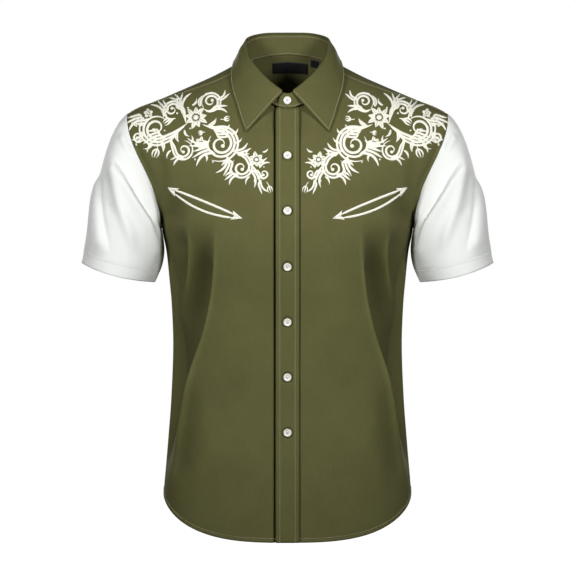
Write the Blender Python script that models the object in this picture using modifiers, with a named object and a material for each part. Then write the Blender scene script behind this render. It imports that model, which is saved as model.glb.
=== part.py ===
"""Short-sleeved western shirt, filled out as if worn, with nobody in it.

Each piece is a cloth wall on the outer face of the filled-out shirt, and each is cut where the
real garment is cut: fronts, placket, back, yoke, sleeves, collar stand and collar leaf, with
the buttons, pocket trims and labels laid on them.

+Z is up, the front faces -Y and +X is the wearer's left. The origin is the middle of the neck's
base. Sizes below are in millimetres and become metres where vertices are made.
"""

import math
from collections import namedtuple

import bmesh
import bpy
from mathutils import Vector

MM = 0.001
FRONT = -1
BACK = 1

# Driving dimensions, mm
GAP = 0.4                     # between pieces sewn edge to edge
LIFT = 0.6                    # between a piece and the faceted cloth it lies on
SEAM_SHARE = 0.0012           # trimmed off a panel's outer edge, as a share of its width
SEAM_RISE = 0.0045            # trimmed off its top edge, as a share of its height
CLOTH = 1.2                   # wall of body and sleeve cloth
DOUBLED = 1.6                 # wall of the interlined collar and the placket
TRIM = 1.0                    # wall of labels, welts, piping and tacks
PIT_HEIGHT = -232.0           # underarm
SHOULDER_HEIGHT = -61.0       # end of the shoulder seam
ARMHOLE_DEPTH = 58.0          # how far the armhole's oval reaches forward and back
CHEST_FRONT = 128.0           # chest, forward of the side seam
CHEST_BACK = 110.0            # shoulder blades, behind the side seam
CHEST_TURN = 63.0             # degrees that a ring turns between centre and armhole
RING_SQUARENESS = 0.86        # 1 is an ellipse, less is fuller at its corners
ARMHOLE_FULLNESS = (2.4, 1.0)    # how closely the armhole's depth keeps to it, at the underarm
FULLNESS_RISE = 0.3           # and from this rise upward
HEM_SIDE = -625.0             # hem at the side seam
HEM_DROP = {FRONT: 64.9, BACK: 71.0}
HEM_CURVE = (3.2, 0.62)       # inner and outer powers of the shirt tail's curve
SHOULDER_ROLL_FRONT = (0.9, 0.5)    # roll of the chest to the shoulder, by the neck and further out
SHOULDER_ROLL_BACK = 0.47
NECK_ACROSS = 0.245           # side of the neck, as a share of the way to the armhole
NECK_FRONT_RISE = 0.601       # pit of the neck, as a share of underarm to neck root
NECK_FRONT_CURVE = (1.9, 0.55)
NECK_BACK_RISE = 0.923
NECK_BACK_CURVE = (2.5, 0.8)
NECK_ROOT = 286.0             # underarm to the root of the neck, at the centre
YOKE_BACK_HEIGHT = -92.0      # back yoke seam
YOKE_FRONT_RISE = (0.935, 0.992)    # front yoke seam, by the neck and at the armhole
PLACKET_WIDTH = 33.0
RIGHT_FRONT_START = -0.048    # centre edges of the fronts, as shares of the way to the armhole
LEFT_FRONT_START = 0.052

SLEEVE_GAP = 0.7              # sleeve head to the panels it is sewn to
CUFF_OUTER = Vector((309.0, 0.0, -284.0))
CUFF_INNER = Vector((198.5, 0.0, -314.0))
CUFF_HALF_DEPTH = 72.0
CUFF_DIP = 6.0
CUFF_AXIS = Vector((0.25, 0.0, -0.968))     # way out of the cuff on the outer side
CUFF_AXIS_INNER = Vector((0.70, 0.0, -1.38))    # and on the inner side, where it flares
HEAD_TOP = Vector((0.80, 0.0, -0.60))       # way the cloth leaves the armhole, at its top,
HEAD_BOTTOM = Vector((-0.2, 0.0, -1.0))     # at its bottom
HEAD_SIDE = Vector((0.3, 0.45, 0.1))        # and added at its front and back
HEAD_REACH = (0.9, 0.6)       # how far it keeps that way, at the bottom and at the top

STAND_UNDER = -10.0           # degrees, the right end of the stand, under the lap
STAND_OVER = 371.0            # degrees, the left end, on top
STAND_LAP = DOUBLED + GAP
STAND_END = 0.6               # height of the stand's ends, as a share of its middle
LEAF_LIFT = 1.4               # between the leaf's edge and the shirt
LEAF_BELLY = 1.6              # how far the leaf bows outward
RIDGE_LIFT = 1.2              # more lift where the leaf's edge crosses the shoulder ridge,
RIDGE_REACH = 0.09            # to this share of the rise on either side

POCKET_OUTER = (176.0, -175.5)
POCKET_INNER = (64.5, -222.5)
UPPER_SAG = -1.5
LOWER_SAG = 11.5
PIPING_WIDTH = 3.2
PIPING_LIFT = 0.9             # more than LIFT, over the hollow at the pocket's outer end
PIPING_SPAN = (0.16, 0.84)    # along the pocket, between its two arrowheads
WELT_SPAN = (0.3, 0.7)
ARROW_LENGTH = 17.0
ARROW_WIDTH = 14.5
ARROW_NOTCH = 0.78            # how deep the tail is cut, as a share of the length
ARROW_AIM = 6.5               # sag of the curve that the arrowheads point along
TACK_LIFT = 0.78              # more than LIFT, since a tack is flat over curved cloth

Label = namedtuple("Label", "left right below height")
NECK_LABEL = Label(-23.0, 31.0, 8.5, 16.0)
SIZE_TAB = Label(36.0, 48.0, 0.5, 11.5)
LABEL_LIFT = 0.8

BUTTON_TOP = -132.0
BUTTON_STEP = 80.0
BUTTONS_ON_PLACKET = 6
BUTTON_SIDES = 16
BUTTON_PROFILE = (            # radius and height of the turned edge, from the top's middle
    (0.0, 1.6), (3.5, 1.6), (4.3, 2.4), (5.2, 2.4), (5.9, 1.6), (5.2, 0.0), (0.0, 0.0),
)
HOLE_RADIUS = 0.75
HOLE_OFFSET = 1.25

# How finely the cloth is cut
LOWER_ROWS = 11
UPPER_ROWS = 11
SIDE_COLUMNS = 8
BACK_COLUMNS = 10
YOKE_ROWS = 7
YOKE_FRONT_ROWS = 3
SLEEVE_ROWS = 9
SLEEVE_COLUMNS = 20
STAND_ROWS = 3
LEAF_ROWS = 8
PIPING_COLUMNS = 14
NECK_FRONT_ANGLES = (0, 7, 15, 24, 33, 42, 52, 61)      # degrees from the centre front
NECK_BACK_ANGLES = (90, 104, 118, 133, 148, 164, 180)

Ring = namedtuple("Ring", "height half_width front back")
BODY_RINGS = (
    Ring(-700, 187.5, 118, 110),
    Ring(-639, 186.0, 116, 108),
    Ring(-550, 179.0, 111, 101),
    Ring(-490, 174.5, 107, 95),
    Ring(-410, 171.5, 106, 90),
    Ring(-350, 173.5, 111, 94),
    Ring(-310, 177.0, 119, 100),
    Ring(-267, 181.5, 126, 107),
    Ring(-232, 188.0, CHEST_FRONT, CHEST_BACK),
    Ring(-197, 186.0, 126, 107),    # above the underarm, only to carry the slope through it
)

Seam = namedtuple("Seam", "rise half_width")
ARMHOLE = (
    Seam(0.00, 188.0),
    Seam(0.15, 189.5),
    Seam(0.30, 196.0),
    Seam(0.45, 206.5),
    Seam(0.60, 219.0),
    Seam(0.75, 230.0),
    Seam(0.90, 237.0),
    Seam(1.00, 239.0),
)

Slope = namedtuple("Slope", "half_width height")
SHOULDER = (
    Slope(0, 54), Slope(25, 50), Slope(50, 37), Slope(72, 17.5), Slope(103, -0.5),
    Slope(142, -18.5), Slope(184, -36.8), Slope(222, -52), Slope(239, SHOULDER_HEIGHT),
)

# around: degrees from the centre front. fold: top of the stand, where the leaf turns over.
# edge: the leaf's lower edge, by its place on the body; a rise over 1 is behind the shoulder.
Station = namedtuple("Station", "around fold_x fold_y fold_z edge_across edge_rise")
COLLAR = (
    Station(0, 0.0, -85.0, -39.0, 0.225, 0.510),
    Station(6, 6.8, -84.5, -37.0, 0.230, 0.530),
    Station(20, 22.0, -79.0, -25.0, 0.250, 0.620),
    Station(39, 39.0, -66.0, -8.0, 0.266, 0.720),
    Station(58, 54.0, -46.0, 12.4, 0.285, 0.830),
    Station(75, 60.8, -26.0, 29.6, 0.288, 0.925),
    Station(92, 61.4, -4.0, 44.5, 0.271, 1.000),
    Station(118, 55.8, 20.0, 54.6, 0.244, 1.035),
    Station(148, 34.5, 39.0, 62.0, 0.165, 1.075),
    Station(180, 0.0, 44.0, 63.4, 0.000, 1.105),
)


def smooth(rows, key, value, at):
    """Read one column of a table along another, on a smooth curve through its rows."""
    keys = [getattr(row, key) for row in rows]
    values = [getattr(row, value) for row in rows]
    last = len(rows) - 2
    i = 0
    while i < last and at > keys[i + 1]:
        i += 1

    def slope(j):
        low = max(j - 1, 0)
        high = min(j + 1, last + 1)
        return (values[high] - values[low]) / (keys[high] - keys[low])

    span = keys[i + 1] - keys[i]
    t = (at - keys[i]) / span
    t2 = t * t
    t3 = t2 * t
    return ((2 * t3 - 3 * t2 + 1) * values[i] + (t3 - 2 * t2 + t) * span * slope(i)
            + (3 * t2 - 2 * t3) * values[i + 1] + (t3 - t2) * span * slope(i + 1))


def ease(low, high, at):
    t = min(max((at - low) / (high - low), 0.0), 1.0)
    return t * t * (3 - 2 * t)


def blend(a, b, t):
    return a + (b - a) * t


# The body's surface. across runs from 0 at the centre to 1 at the side seam and armhole, with
# the sign of x. rise runs from -1 at the hem through 0 at the underarm to 1 on the shoulder.

def ring_turn(rise):
    """Angle, in radians, that a ring turns between the centre and its outer edge."""
    return math.radians(blend(90.0, CHEST_TURN, ease(0.0, 0.35, rise)))


def shoulder_height(across):
    turn = ring_turn(1.0)
    x = ARMHOLE[-1].half_width * math.sin(abs(across) * turn) / math.sin(turn)
    return smooth(SHOULDER, "half_width", "height", min(x, SHOULDER[-1].half_width))


def hem_height(face, across):
    inner, outer = HEM_CURVE
    inward = 1.0 - abs(math.sin(across * math.pi / 2)) ** inner
    return HEM_SIDE - HEM_DROP[face] * max(inward, 0.0) ** outer


def body_height(face, across, rise):
    if rise <= 0.0:
        return blend(PIT_HEIGHT, hem_height(face, across), -rise)
    return blend(PIT_HEIGHT, shoulder_height(across), rise)


def profile_power(face, across):
    """How the upper body rolls back to the shoulder: 1 is a straight slope, 0.5 an arc."""
    if face == BACK:
        return SHOULDER_ROLL_BACK
    return blend(*SHOULDER_ROLL_FRONT, ease(0.1, 0.6, abs(across)))


def body_point(face, across, rise):
    z = body_height(face, across, rise)
    turn = ring_turn(rise)
    if rise <= 0.0:
        half_width = smooth(BODY_RINGS, "height", "half_width", z)
        centre = smooth(BODY_RINGS, "height", "front" if face == FRONT else "back", z)
        edge = 0.0
    else:
        half_width = smooth(ARMHOLE, "rise", "half_width", rise)
        rolled = max(1.0 - rise * rise, 0.0) ** profile_power(face, across)
        centre = (CHEST_FRONT if face == FRONT else CHEST_BACK) * rolled
        edge = ARMHOLE_DEPTH * math.sqrt(max(4 * rise * (1 - rise), 0.0))
    x = half_width * math.sin(across * turn) / math.sin(turn)
    inward = (math.cos(across * turn) - math.cos(turn)) / (1 - math.cos(turn))
    share = max(inward, 0.0) ** RING_SQUARENESS
    kept = blend(*ARMHOLE_FULLNESS, ease(0.0, FULLNESS_RISE, rise))
    y = centre * share + edge * (1.0 - share) ** kept
    return Vector((x, face * y, z))


def body_normal(face, across, rise):
    step = 0.01
    low = max(rise - step, -1.0)
    high = min(rise + step, 0.97)
    if high <= low:
        low = high - step
    sideways = body_point(face, min(across + step, 1.0), rise) \
        - body_point(face, max(across - step, -1.0), rise)
    upward = body_point(face, across, high) - body_point(face, across, low)
    return (sideways.cross(upward) * -face).normalized()


def body_place(face, x, z):
    """Across and rise of the surface point at a given x and height."""
    across = x / 200.0
    rise = 0.0
    for _ in range(25):
        if z <= PIT_HEIGHT:
            rise = (z - PIT_HEIGHT) / (PIT_HEIGHT - hem_height(face, across))
            half_width = smooth(BODY_RINGS, "height", "half_width", z)
        else:
            rise = (z - PIT_HEIGHT) / (shoulder_height(across) - PIT_HEIGHT)
            half_width = smooth(ARMHOLE, "rise", "half_width", min(rise, 1.0))
        turn = ring_turn(rise)
        across = math.asin(max(min(x * math.sin(turn) / half_width, 1.0), -1.0)) / turn
    return across, rise


def on_body(face, x, z, out):
    """A point at x and height z on the body's outer face, moved out along its normal."""
    across, rise = body_place(face, x, z)
    return body_point(face, across, rise) + body_normal(face, across, rise) * out


# Cut lines on that surface

def neck_rise(face, across):
    share = min(abs(across) / NECK_ACROSS, 1.0)
    inner, outer = NECK_FRONT_CURVE if face == FRONT else NECK_BACK_CURVE
    lowest = NECK_FRONT_RISE if face == FRONT else NECK_BACK_RISE
    return 1.0 - (1.0 - lowest) * (1.0 - share ** inner) ** outer


def neck_across(rise):
    """Where the front neckline stands at a given rise."""
    inner, outer = NECK_FRONT_CURVE
    left = ((1.0 - rise) / (1.0 - NECK_FRONT_RISE)) ** (1 / outer)
    return NECK_ACROSS * (1.0 - left) ** (1 / inner)


def yoke_front_rise(across):
    return blend(*YOKE_FRONT_RISE, ease(0.3, 1.0, abs(across)))


def yoke_back_rise(across):
    return (YOKE_BACK_HEIGHT - PIT_HEIGHT) / (shoulder_height(across) - PIT_HEIGHT)


def across_at(face, x, rise):
    """Across of the surface point at a given x and rise."""
    across = x / 200.0
    turn = ring_turn(rise)
    for _ in range(4):
        if rise <= 0.0:
            height = body_height(face, across, rise)
            half_width = smooth(BODY_RINGS, "height", "half_width", height)
        else:
            half_width = smooth(ARMHOLE, "rise", "half_width", rise)
        across = math.asin(x * math.sin(turn) / half_width) / turn
    return across


def neck_angle(share):
    """Degrees round the neck, a share of the way from the shoulder to the front yoke seam."""
    edge = neck_across(blend(1.0, yoke_front_rise(0), share))
    return math.degrees(math.asin(edge / NECK_ACROSS))


def neck_stations():
    """Degrees round half the neck, at which panels, yoke and collar all have points."""
    yoke_end = [neck_angle(1 - share) for share in steps(YOKE_FRONT_ROWS)[:-1]]
    return [*NECK_FRONT_ANGLES, *yoke_end, *NECK_BACK_ANGLES]


# Making pieces

def material(name, colour, roughness, metallic=0.0):
    made = bpy.data.materials.new(name)
    made.use_nodes = True
    shader = made.node_tree.nodes["Principled BSDF"]
    shader.inputs["Base Color"].default_value = (*colour, 1.0)
    shader.inputs["Roughness"].default_value = roughness
    shader.inputs["Metallic"].default_value = metallic
    made.diffuse_color = (*colour, 1.0)
    return made


def skin(bm, rows, closed=False):
    """Join a grid of points, one list per row, with quads."""
    grid = [[bm.verts.new(point * MM) for point in row] for row in rows]
    for below, above in zip(grid, grid[1:]):
        count = len(below)
        for i in range(count if closed else count - 1):
            j = (i + 1) % count
            bm.faces.new((below[i], below[j], above[j], above[i]))


def add_object(name, mesh, slot, group):
    made = bpy.data.objects.new(name, mesh)
    made.data.materials.append(slot)
    group.objects.link(made)
    return made


def cloth(name, grids, wall, slot, group, outward, closed=False):
    """A cloth wall: open grids joined into one surface, thickened on its inner side.

    outward is a rough outward direction at the first grid's middle.
    """
    bm = bmesh.new()
    for rows in grids:
        skin(bm, rows, closed)
    bmesh.ops.remove_doubles(bm, verts=bm.verts, dist=0.00001)
    bmesh.ops.recalc_face_normals(bm, faces=bm.faces)
    rows = grids[0]
    middle = rows[len(rows) // 2][len(rows[0]) // 2] * MM
    nearest = min(bm.faces, key=lambda face: (face.calc_center_median() - middle).length)
    if nearest.normal.dot(Vector(outward)) < 0:
        bmesh.ops.reverse_faces(bm, faces=bm.faces)
    mesh = bpy.data.meshes.new(name)
    bm.to_mesh(mesh)
    bm.free()
    mesh.shade_smooth()
    made = add_object(name, mesh, slot, group)
    solidify = made.modifiers.new("wall", "SOLIDIFY")
    solidify.thickness = wall * MM
    solidify.offset = -1.0
    solidify.use_even_offset = True
    return made


def steps(count, low=0.0, high=1.0):
    return [blend(low, high, i / count) for i in range(count + 1)]


def arc_steps(count):
    """Steps from 0 to 1 that are closer together at both ends, as round an oval."""
    return [(1 - math.cos(math.pi * i / count)) / 2 for i in range(count + 1)]


def trimmed(across):
    return max(min(across, 1.0 - SEAM_SHARE), SEAM_SHARE - 1.0)


def front_rises(top):
    """The rises of a front panel's rows, from the hem to its top edge."""
    lower = steps(LOWER_ROWS, -1.0, 0.0)[:-1]
    return lower + [share * top for share in arc_steps(UPPER_ROWS)]


def front_top(across):
    corner = neck_across(yoke_front_rise(0))
    if abs(across) <= corner:
        return min(neck_rise(FRONT, across), yoke_front_rise(0) - SEAM_RISE)
    return yoke_front_rise(across) - SEAM_RISE


def front_panel(name, start, side, slot, group):
    """A front, from its centre edge to the side seam and armhole, up to neck and yoke seam."""
    angles = [*NECK_FRONT_ANGLES, neck_angle(1.0)]
    columns = [NECK_ACROSS * math.sin(math.radians(angle)) for angle in angles]
    columns = [start] + [c for c in columns if c > start + 0.005]
    columns += steps(SIDE_COLUMNS, columns[-1], 1.0)[1:]
    by_column = [[body_point(FRONT, side * trimmed(c), rise) for rise in front_rises(front_top(c))]
                 for c in columns]
    return cloth(name, [by_column], CLOTH, slot, group, (0, -1, 0))


def back_panel(slot, group):
    half = steps(BACK_COLUMNS)
    columns = [-c for c in reversed(half[1:])] + half
    by_column = []
    for c in columns:
        top = yoke_back_rise(c) - SEAM_RISE
        rises = steps(LOWER_ROWS, -1.0, 0.0)[:-1] + [top * share for share in steps(5)]
        by_column.append([body_point(BACK, trimmed(c), rise) for rise in rises])
    return cloth("back", [by_column], CLOTH, slot, group, (0, 1, 0))


def yoke(slot, group):
    """Yoke: over the back of the neck in the middle, over both shoulders at the sides."""
    back_shares = [1 - (1 - t) ** 1.6 for t in steps(YOKE_ROWS)]
    arcs = [NECK_ACROSS * math.sin(math.radians(angle)) for angle in neck_stations() if angle >= 90]
    middle = [-c for c in arcs] + list(reversed(arcs))[1:]
    grids = [[[body_point(BACK, c, blend(yoke_back_rise(c), neck_rise(BACK, c), t))
               for c in middle] for t in back_shares]]
    for side in (-1, 1):
        grids.append([[body_point(BACK, side * trimmed(c), blend(yoke_back_rise(c), 1.0, t))
                       for c in steps(SIDE_COLUMNS, NECK_ACROSS, 1.0)] for t in back_shares])
        rows = []
        for t in steps(YOKE_FRONT_ROWS):
            edge = neck_across(blend(1.0, yoke_front_rise(0), t))
            rows.append([body_point(FRONT, side * trimmed(c), blend(1.0, yoke_front_rise(c), t))
                         for c in steps(SIDE_COLUMNS, edge, 1.0)])
        grids.append(rows)
    return cloth("yoke", grids, CLOTH, slot, group, (0, 1, 0.5))


def sleeve_start(angle):
    """Point of the armhole, the angle running from the shoulder over the front."""
    rise = (1 + math.cos(angle)) / 2
    x = smooth(ARMHOLE, "rise", "half_width", rise)
    z = blend(PIT_HEIGHT, SHOULDER_HEIGHT, rise)
    return Vector((x + SLEEVE_GAP, -ARMHOLE_DEPTH * math.sin(angle), z))


def sleeve_end(angle):
    centre = (CUFF_OUTER + CUFF_INNER) / 2
    out = (CUFF_OUTER - CUFF_INNER) / 2
    dip = CUFF_AXIS * CUFF_DIP * math.sin(angle) ** 2
    return centre + out * math.cos(angle) - Vector((0, CUFF_HALF_DEPTH * math.sin(angle), 0)) + dip


def sleeve_point(angle, along):
    """A smooth path from the armhole to the cuff."""
    start = sleeve_start(angle)
    end = sleeve_end(angle)
    top = (1 + math.cos(angle)) / 2
    side = math.sin(angle)
    leave = blend(HEAD_BOTTOM, HEAD_TOP, top)
    leave += Vector((HEAD_SIDE.x, -HEAD_SIDE.y * side, HEAD_SIDE.z)) * abs(side)
    length = (end - start).length
    first = leave.normalized() * length * blend(*HEAD_REACH, top)
    final = blend(CUFF_AXIS, CUFF_AXIS_INNER, (1 - top) ** 3) * length
    t2 = along * along
    t3 = t2 * along
    return (start * (2 * t3 - 3 * t2 + 1) + first * (t3 - 2 * t2 + along)
            + end * (3 * t2 - 2 * t3) + final * (t3 - t2))


def sleeve(name, side, slot, group):
    rows = []
    for along in steps(SLEEVE_ROWS):
        ring = []
        for i in range(SLEEVE_COLUMNS):
            point = sleeve_point(math.tau * i / SLEEVE_COLUMNS, along ** 1.15)
            ring.append(Vector((side * point.x, point.y, point.z)))
        rows.append(ring)
    return cloth(name, [rows], CLOTH, slot, group, (-side, 0, 0), closed=True)


# Collar

def mirrored(point, side):
    return Vector((side * point.x, point.y, point.z))


def neck_seam(around):
    """Point of the neck seam, on the wearer's left, degrees from the centre front."""
    across = NECK_ACROSS * math.sin(math.radians(around))
    face = FRONT if around <= 90 else BACK
    return body_point(face, across, neck_rise(face, across))


def fold(around):
    return Vector([smooth(COLLAR, "around", key, around) for key in ("fold_x", "fold_y", "fold_z")])


def leaf_edge(around):
    across = smooth(COLLAR, "around", "edge_across", around)
    rise = smooth(COLLAR, "around", "edge_rise", around)
    face = FRONT if rise <= 1.0 else BACK
    inner = rise if rise <= 1.0 else 2.0 - rise
    point = body_point(face, across, min(inner, 1.0))
    normal = body_normal(face, across, min(inner, 0.96))
    from_ridge = min(abs(rise - 1.0) / RIDGE_REACH, 1.0)
    normal.y *= from_ridge
    lift = LEAF_LIFT + RIDGE_LIFT * (1.0 - from_ridge)
    return point + normal.normalized() * (DOUBLED + lift)


def stand_point(around, up):
    """The stand's outer face, 0 to 360 degrees going round by the wearer's right."""
    turned = around % 360.0
    side = -1 if turned <= 180 else 1
    local = turned if turned <= 180 else 360 - turned
    seam = neck_seam(local)
    top = fold(local)
    rising = (top - seam).normalized()
    low = seam + rising * GAP
    ahead = neck_seam(min(local + 4, 180)) - neck_seam(max(local - 4, 0))
    out = ahead.cross(rising).normalized()
    if out.dot(Vector((seam.x, seam.y, 0))) < 0:
        out = -out
    lap = STAND_LAP * ease(290, 345, around)
    return mirrored(blend(low, top, up) + out * lap, side)


def collar_stand(slot, group):
    half = neck_stations()
    turns = [STAND_UNDER] + half + [360 - angle for angle in reversed(half[:-1])] + [STAND_OVER]
    last = len(turns) - 1
    rows = []
    for up in steps(STAND_ROWS):
        row = []
        for i, around in enumerate(turns):
            rounded = STAND_END if i in (0, last) else 1.0
            row.append(stand_point(around, up * rounded))
        rows.append(row)
    return cloth("collar_stand", [rows], DOUBLED, slot, group, (0, 1, 0))


Roll = namedtuple("Roll", "out up")
LEAF_ROLL = (Roll(-1.6, 2.4), Roll(0.5, 2.9), Roll(2.7, 1.9), Roll(3.9, -1.8))


def leaf_point(around, along):
    """Leaf: over the stand's top on the roll, then down to its edge."""
    top = fold(around)
    rising = (top - neck_seam(around)).normalized()
    edge = leaf_edge(around)
    ahead = fold(min(around + 4, 180)) - fold(max(around - 4, 0))
    out = ahead.cross(rising).normalized()
    if out.dot(Vector((top.x, top.y, 0))) < 0:
        out = -out
    lap = STAND_LAP * (1 - ease(15, 70, around))
    top = top + out * lap
    count = len(LEAF_ROLL) - 1
    if along <= count:
        roll = LEAF_ROLL[along]
        return top + out * roll.out + rising * roll.up
    share = (along - count) / (LEAF_ROWS - count)
    start = top + out * LEAF_ROLL[-1].out + rising * LEAF_ROLL[-1].up
    fall = edge - start
    belly = ahead.cross(fall).normalized()
    if belly.dot(out) < 0:
        belly = -belly
    return start + fall * share + belly * LEAF_BELLY * math.sin(math.pi * share)


def collar_leaf(slot, group):
    half = neck_stations()[1:]
    rows = []
    for along in range(LEAF_ROWS + 1):
        right = [mirrored(leaf_point(around, along), -1) for around in half]
        left = [leaf_point(around, along) for around in reversed(half[:-1])]
        rows.append(right + left)
    return cloth("collar_leaf", [rows], DOUBLED, slot, group, (0, 1, 0.3))


# Pieces laid on the fronts

def placket(slot, group):
    half = PLACKET_WIDTH / 2
    by_column = []
    for x in steps(4, -half, half):
        column = []
        for rise in front_rises(neck_rise(FRONT, 0.0) - SEAM_RISE):
            across = across_at(FRONT, x, rise)
            out = body_normal(FRONT, across, rise) * (LIFT + DOUBLED)
            column.append(body_point(FRONT, across, rise) + out)
        by_column.append(column)
    return cloth("placket", [by_column], DOUBLED, slot, group, (0, -1, 0))


def pocket_line(side, share, sag):
    """A point on the chord between a pocket's ends, let down by sag at its middle."""
    x = blend(POCKET_OUTER[0], POCKET_INNER[0], share)
    z = blend(POCKET_OUTER[1], POCKET_INNER[1], share)
    chord = Vector((POCKET_INNER[0] - POCKET_OUTER[0], POCKET_INNER[1] - POCKET_OUTER[1]))
    down = Vector((-chord.y, chord.x)).normalized()
    drop = sag * 4 * share * (1 - share)
    return side * (x + down.x * drop), z + down.y * drop


def welt(name, side, slot, group):
    """The crescent of cloth between a pocket's two pipings."""
    clear = PIPING_WIDTH
    rows = []
    for sag in (UPPER_SAG + clear + LIFT, LOWER_SAG - clear - LIFT):
        row = []
        for share in steps(PIPING_COLUMNS, *WELT_SPAN):
            x, z = pocket_line(side, share, sag)
            row.append(on_body(FRONT, x, z, LIFT + TRIM))
        rows.append(row)
    return cloth(name, [rows], TRIM, slot, group, (0, -1, 0))


def piping(name, sag, side, slot, group):
    rows = []
    for out in (-PIPING_WIDTH / 2, PIPING_WIDTH / 2):
        row = []
        for share in steps(PIPING_COLUMNS, *PIPING_SPAN):
            x, z = pocket_line(side, share, sag)
            ahead = pocket_line(side, share + 0.01, sag)
            along = Vector((ahead[0] - x, ahead[1] - z)).normalized()
            row.append(on_body(FRONT, x - along.y * out, z + along.x * out,
                               PIPING_LIFT + TRIM))
        rows.append(row)
    return cloth(name, [rows], TRIM, slot, group, (0, -1, 0))


def arrow_tack(name, end, side, slot, group):
    """A stitched arrowhead at one end of a pocket, pointing away from its middle."""
    share = 0.0 if end == "outer" else 1.0
    tip = Vector(pocket_line(side, share, 0.0))
    towards = Vector(pocket_line(side, 0.5, ARROW_AIM)) - tip
    towards.normalize()
    across = Vector((-towards.y, towards.x))
    tail = tip + towards * ARROW_LENGTH
    notch = tip + towards * ARROW_LENGTH * ARROW_NOTCH
    rows = []
    for share in steps(3):
        low = blend(tip, tail - across * ARROW_WIDTH / 2, share)
        high = blend(tip, tail + across * ARROW_WIDTH / 2, share)
        middle = blend(tip, notch, share)
        rows.append([on_body(FRONT, point.x, point.y, TACK_LIFT + TRIM)
                     for point in (low, middle, high)])
    return cloth(name, [rows], TRIM, slot, group, (0, -1, 0))


# Labels inside the yoke

def inner_patch(name, label, slot, group):
    """A flat label hung inside the yoke, from just below the neck seam."""
    by_column = []
    for x in steps(4, label.left, label.right):
        across = across_at(BACK, x, NECK_BACK_RISE)
        column = []
        for below in (label.below + label.height, label.below):
            rise = neck_rise(BACK, across) - below / NECK_ROOT
            inside = body_normal(BACK, across, rise) * (CLOTH + LABEL_LIFT)
            column.append(body_point(BACK, across, rise) - inside)
        by_column.append(column)
    return cloth(name, [by_column], TRIM, slot, group, (0, 1, 0))


# Buttons

def button_mesh(cutters, group):
    """A four-hole shirt button: a turned disc with a raised rim, drilled four times."""
    bm = bmesh.new()
    previous = None
    for radius, height in BUTTON_PROFILE:
        vert = bm.verts.new((radius * MM, 0, height * MM))
        if previous is not None:
            bm.edges.new((previous, vert))
        previous = vert
    mesh = bpy.data.meshes.new("button_profile")
    bm.to_mesh(mesh)
    bm.free()
    disc = bpy.data.objects.new("button_disc", mesh)
    group.objects.link(disc)
    turn = disc.modifiers.new("turn", "SCREW")
    turn.steps = BUTTON_SIDES
    turn.render_steps = BUTTON_SIDES
    turn.use_merge_vertices = True
    turn.merge_threshold = 0.00001
    for i in range(4):
        angle = math.radians(45 + 90 * i)
        bpy.ops.mesh.primitive_cylinder_add(vertices=6, radius=HOLE_RADIUS * MM, depth=8 * MM)
        drill = bpy.context.object
        drill.name = f"drill_{i + 1}"
        drill.location = (HOLE_OFFSET * MM * math.cos(angle), HOLE_OFFSET * MM * math.sin(angle), 0)
        drill.hide_render = True
        drill.display_type = "WIRE"
        for owner in drill.users_collection:
            owner.objects.unlink(drill)
        cutters.objects.link(drill)
        cut = disc.modifiers.new(drill.name, "BOOLEAN")
        cut.operation = "DIFFERENCE"
        cut.object = drill
    finished = disc.evaluated_get(bpy.context.evaluated_depsgraph_get())
    shaped = bpy.data.meshes.new_from_object(finished)
    bpy.data.objects.remove(disc)
    shaped.name = "button"
    return shaped


def seat_button(name, mesh, base, normal, group):
    """Stand a button on a point of the shirt, its face along the cloth's normal."""
    made = bpy.data.objects.new(name, mesh)
    group.objects.link(made)
    made.rotation_mode = "QUATERNION"
    made.rotation_quaternion = normal.to_track_quat("Z", "Y")
    made.location = (base + normal * LIFT) * MM
    return made


def main():
    for old in list(bpy.data.objects):
        bpy.data.objects.remove(old)
    parts = bpy.data.collections.new("short_sleeve_shirt")
    cutters = bpy.data.collections.new("cutters")
    for group in (parts, cutters):
        bpy.context.scene.collection.children.link(group)

    olive = material("olive_cotton", (0.115, 0.115, 0.052), 0.75)
    white = material("white_cotton", (0.82, 0.83, 0.82), 0.8)
    thread = material("white_trim", (0.85, 0.85, 0.80), 0.7)
    black = material("black_label", (0.01, 0.01, 0.012), 0.6)
    pearl = material("white_button", (0.86, 0.85, 0.80), 0.3)

    front_panel("right_front", RIGHT_FRONT_START, -1, olive, parts)
    front_panel("left_front", LEFT_FRONT_START, 1, olive, parts)
    back_panel(olive, parts)
    yoke(olive, parts)
    sleeve("sleeve_right", -1, white, parts)
    sleeve("sleeve_left", 1, white, parts)
    collar_stand(olive, parts)
    collar_leaf(olive, parts)
    placket(olive, parts)
    inner_patch("neck_label", NECK_LABEL, black, parts)
    inner_patch("size_tab", SIZE_TAB, black, parts)

    for side, word in ((-1, "right"), (1, "left")):
        welt(f"pocket_welt_{word}", side, olive, parts)
        piping(f"pocket_piping_{word}_upper", UPPER_SAG, side, thread, parts)
        piping(f"pocket_piping_{word}_lower", LOWER_SAG, side, thread, parts)
        for end in ("outer", "inner"):
            arrow_tack(f"arrow_tack_{word}_{end}", end, side, thread, parts)

    mesh = button_mesh(cutters, parts)
    mesh.materials.clear()
    mesh.materials.append(pearl)
    mesh.shade_smooth()
    mesh.set_sharp_from_angle(angle=math.radians(35))
    upward = stand_point(360, 1.0) - stand_point(360, 0.0)
    outward = upward.cross(Vector((-1, 0, 0))).normalized()
    seat_button("button_1", mesh, stand_point(360, 0.5), outward, parts)
    for i in range(BUTTONS_ON_PLACKET):
        z = BUTTON_TOP - BUTTON_STEP * i
        across, rise = body_place(FRONT, 0.0, z)
        normal = body_normal(FRONT, across, rise)
        seat_button(f"button_{i + 2}", mesh, on_body(FRONT, 0.0, z, LIFT + DOUBLED), normal, parts)


main()
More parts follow.
